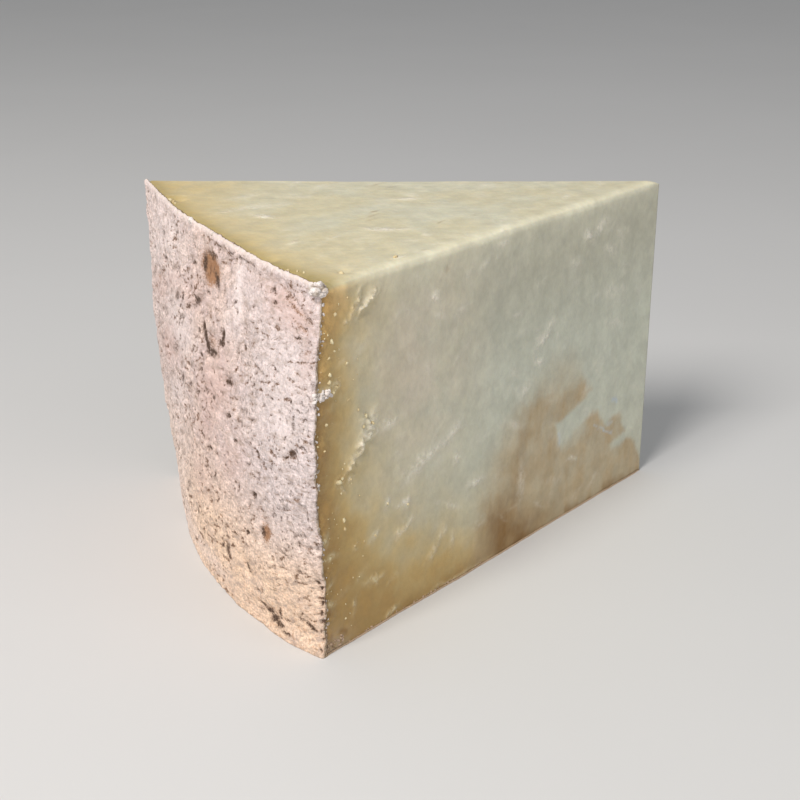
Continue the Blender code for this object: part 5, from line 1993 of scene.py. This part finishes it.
def fray_material():
    recipe = Recipe("cheddar_fray")
    place = recipe.place()
    tint = recipe.noise(place, 420, detail=3, roughness=0.6)
    threads = recipe.noise(recipe.stretched(place, (1.0, 1.0, 4.0)), 1300, detail=2)
    colour = recipe.mix(recipe.span(tint, 0.26, 0.44), FRAY_BROWN, FRAY_GREY)
    colour = recipe.mix(recipe.span(tint, 0.42, 0.54), colour, FRAY_PALE)
    colour = recipe.shaded(colour, recipe.span(threads, 0.3, 0.7, 0.80, 1.08))
    height = recipe.node("SeparateXYZ", {"Vector": place}).outputs["Z"]
    low = recipe.span(height, 0.014, 0.004)
    colour = recipe.mix(low, colour, recipe.shaded(colour, FRAY_LOW))
    normal = recipe.bump(threads, 0.0002)
    return recipe.finish(colour, recipe.span(threads, 0.3, 0.7, 0.85, 0.95), normal)


# --- Floor, light and camera ----------------------------------------------------------

CAMERA_PLACE = (-212.4 * MM, -392.95 * MM, 210.97 * MM)
CAMERA_TURN = radians(-26.85)
CAMERA_TILT = radians(90 - 20.82)
CAMERA_ROLL = radians(0.37)
CAMERA_LENS = 65.66
FLOOR_SIZE = 12.0
FLOOR_TONES = (tone(0.63, 0.62, 0.605), tone(0.66, 0.65, 0.635))
FLOOR_ROUGHNESS = 0.75
WORLD_COLOUR = tone(0.95, 0.97, 1.0)
WORLD_STRENGTH = 0.36
# Area lights: place, size, power in watts, colour; each looks at the wedge's middle
LIGHTS = {
    "key": ((-0.93, -0.54, 1.10), 0.6, 21.5, (1.0, 0.975, 0.95)),
    "fill": ((0.70, -1.30, 0.62), 1.0, 3.6, (0.88, 0.94, 1.0)),
}


def add_floor():
    mesh = bpy.data.meshes.new("floor")
    half = FLOOR_SIZE / 2
    corners = [(-half, -half, 0), (half, -half, 0), (half, half, 0), (-half, half, 0)]
    mesh.from_pydata(corners, [], [(0, 1, 2, 3)])
    floor = bpy.data.objects.new("floor", mesh)
    recipe = Recipe("floor")
    cloud = recipe.noise(recipe.place(), 6, detail=3)
    shade = recipe.mix(cloud, *FLOOR_TONES)
    mesh.materials.append(recipe.finish(shade, FLOOR_ROUGHNESS, None))
    bpy.context.scene.collection.objects.link(floor)


def add_lights():
    world = bpy.data.worlds.new("studio")
    world.use_nodes = True
    background = world.node_tree.nodes["Background"]
    background.inputs["Color"].default_value = WORLD_COLOUR
    background.inputs["Strength"].default_value = WORLD_STRENGTH
    bpy.context.scene.world = world
    for name, (place, size, power, colour) in LIGHTS.items():
        light = bpy.data.lights.new(name, "AREA")
        light.shape = "DISK"
        light.size = size
        light.energy = power
        light.color = colour
        lamp = bpy.data.objects.new(name, light)
        lamp.location = place
        aim = Vector((0, 0, HEIGHT / 2)) - Vector(place)
        lamp.rotation_euler = aim.to_track_quat("-Z", "Y").to_euler()
        bpy.context.scene.collection.objects.link(lamp)


def add_camera():
    data = bpy.data.cameras.new("camera")
    data.lens = CAMERA_LENS
    camera = bpy.data.objects.new("camera", data)
    camera.location = CAMERA_PLACE
    camera.rotation_mode = "XYZ"
    turned = Matrix.Rotation(CAMERA_TURN, 4, "Z") @ Matrix.Rotation(CAMERA_TILT, 4, "X")
    camera.rotation_euler = (turned @ Matrix.Rotation(CAMERA_ROLL, 4, "Z")).to_euler("XYZ")
    bpy.context.scene.collection.objects.link(camera)
    bpy.context.scene.camera = camera
    bpy.context.scene.view_settings.view_transform = "Standard"


def join_to_wedge(piece):
    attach(piece, BODY)
    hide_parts(NODE)


def main():
    paste, paste_spots = make_piece("cheddar_paste", sew_paste(), False)
    colour_paste(paste, paste_spots)
    paste.data.materials.append(paste_material())
    join_to_wedge(paste)
    rind, rind_spots = make_piece("cheddar_rind", sew_rind(), True)
    colour_rind(rind, rind_spots)
    rind.data.materials.append(rind_material())
    join_to_wedge(rind)
    crumbs = join_lumps("cheddar_crumbs", crumb_lumps(), CRUMB_SEED)
    crumbs.data.materials.append(crumb_material())
    join_to_wedge(crumbs)
    frays = join_lumps("cheddar_frays", fray_lumps(), FRAY_SEED)
    frays.data.materials.append(fray_material())
    join_to_wedge(frays)
    add_floor()
    add_lights()
    add_camera()


main()
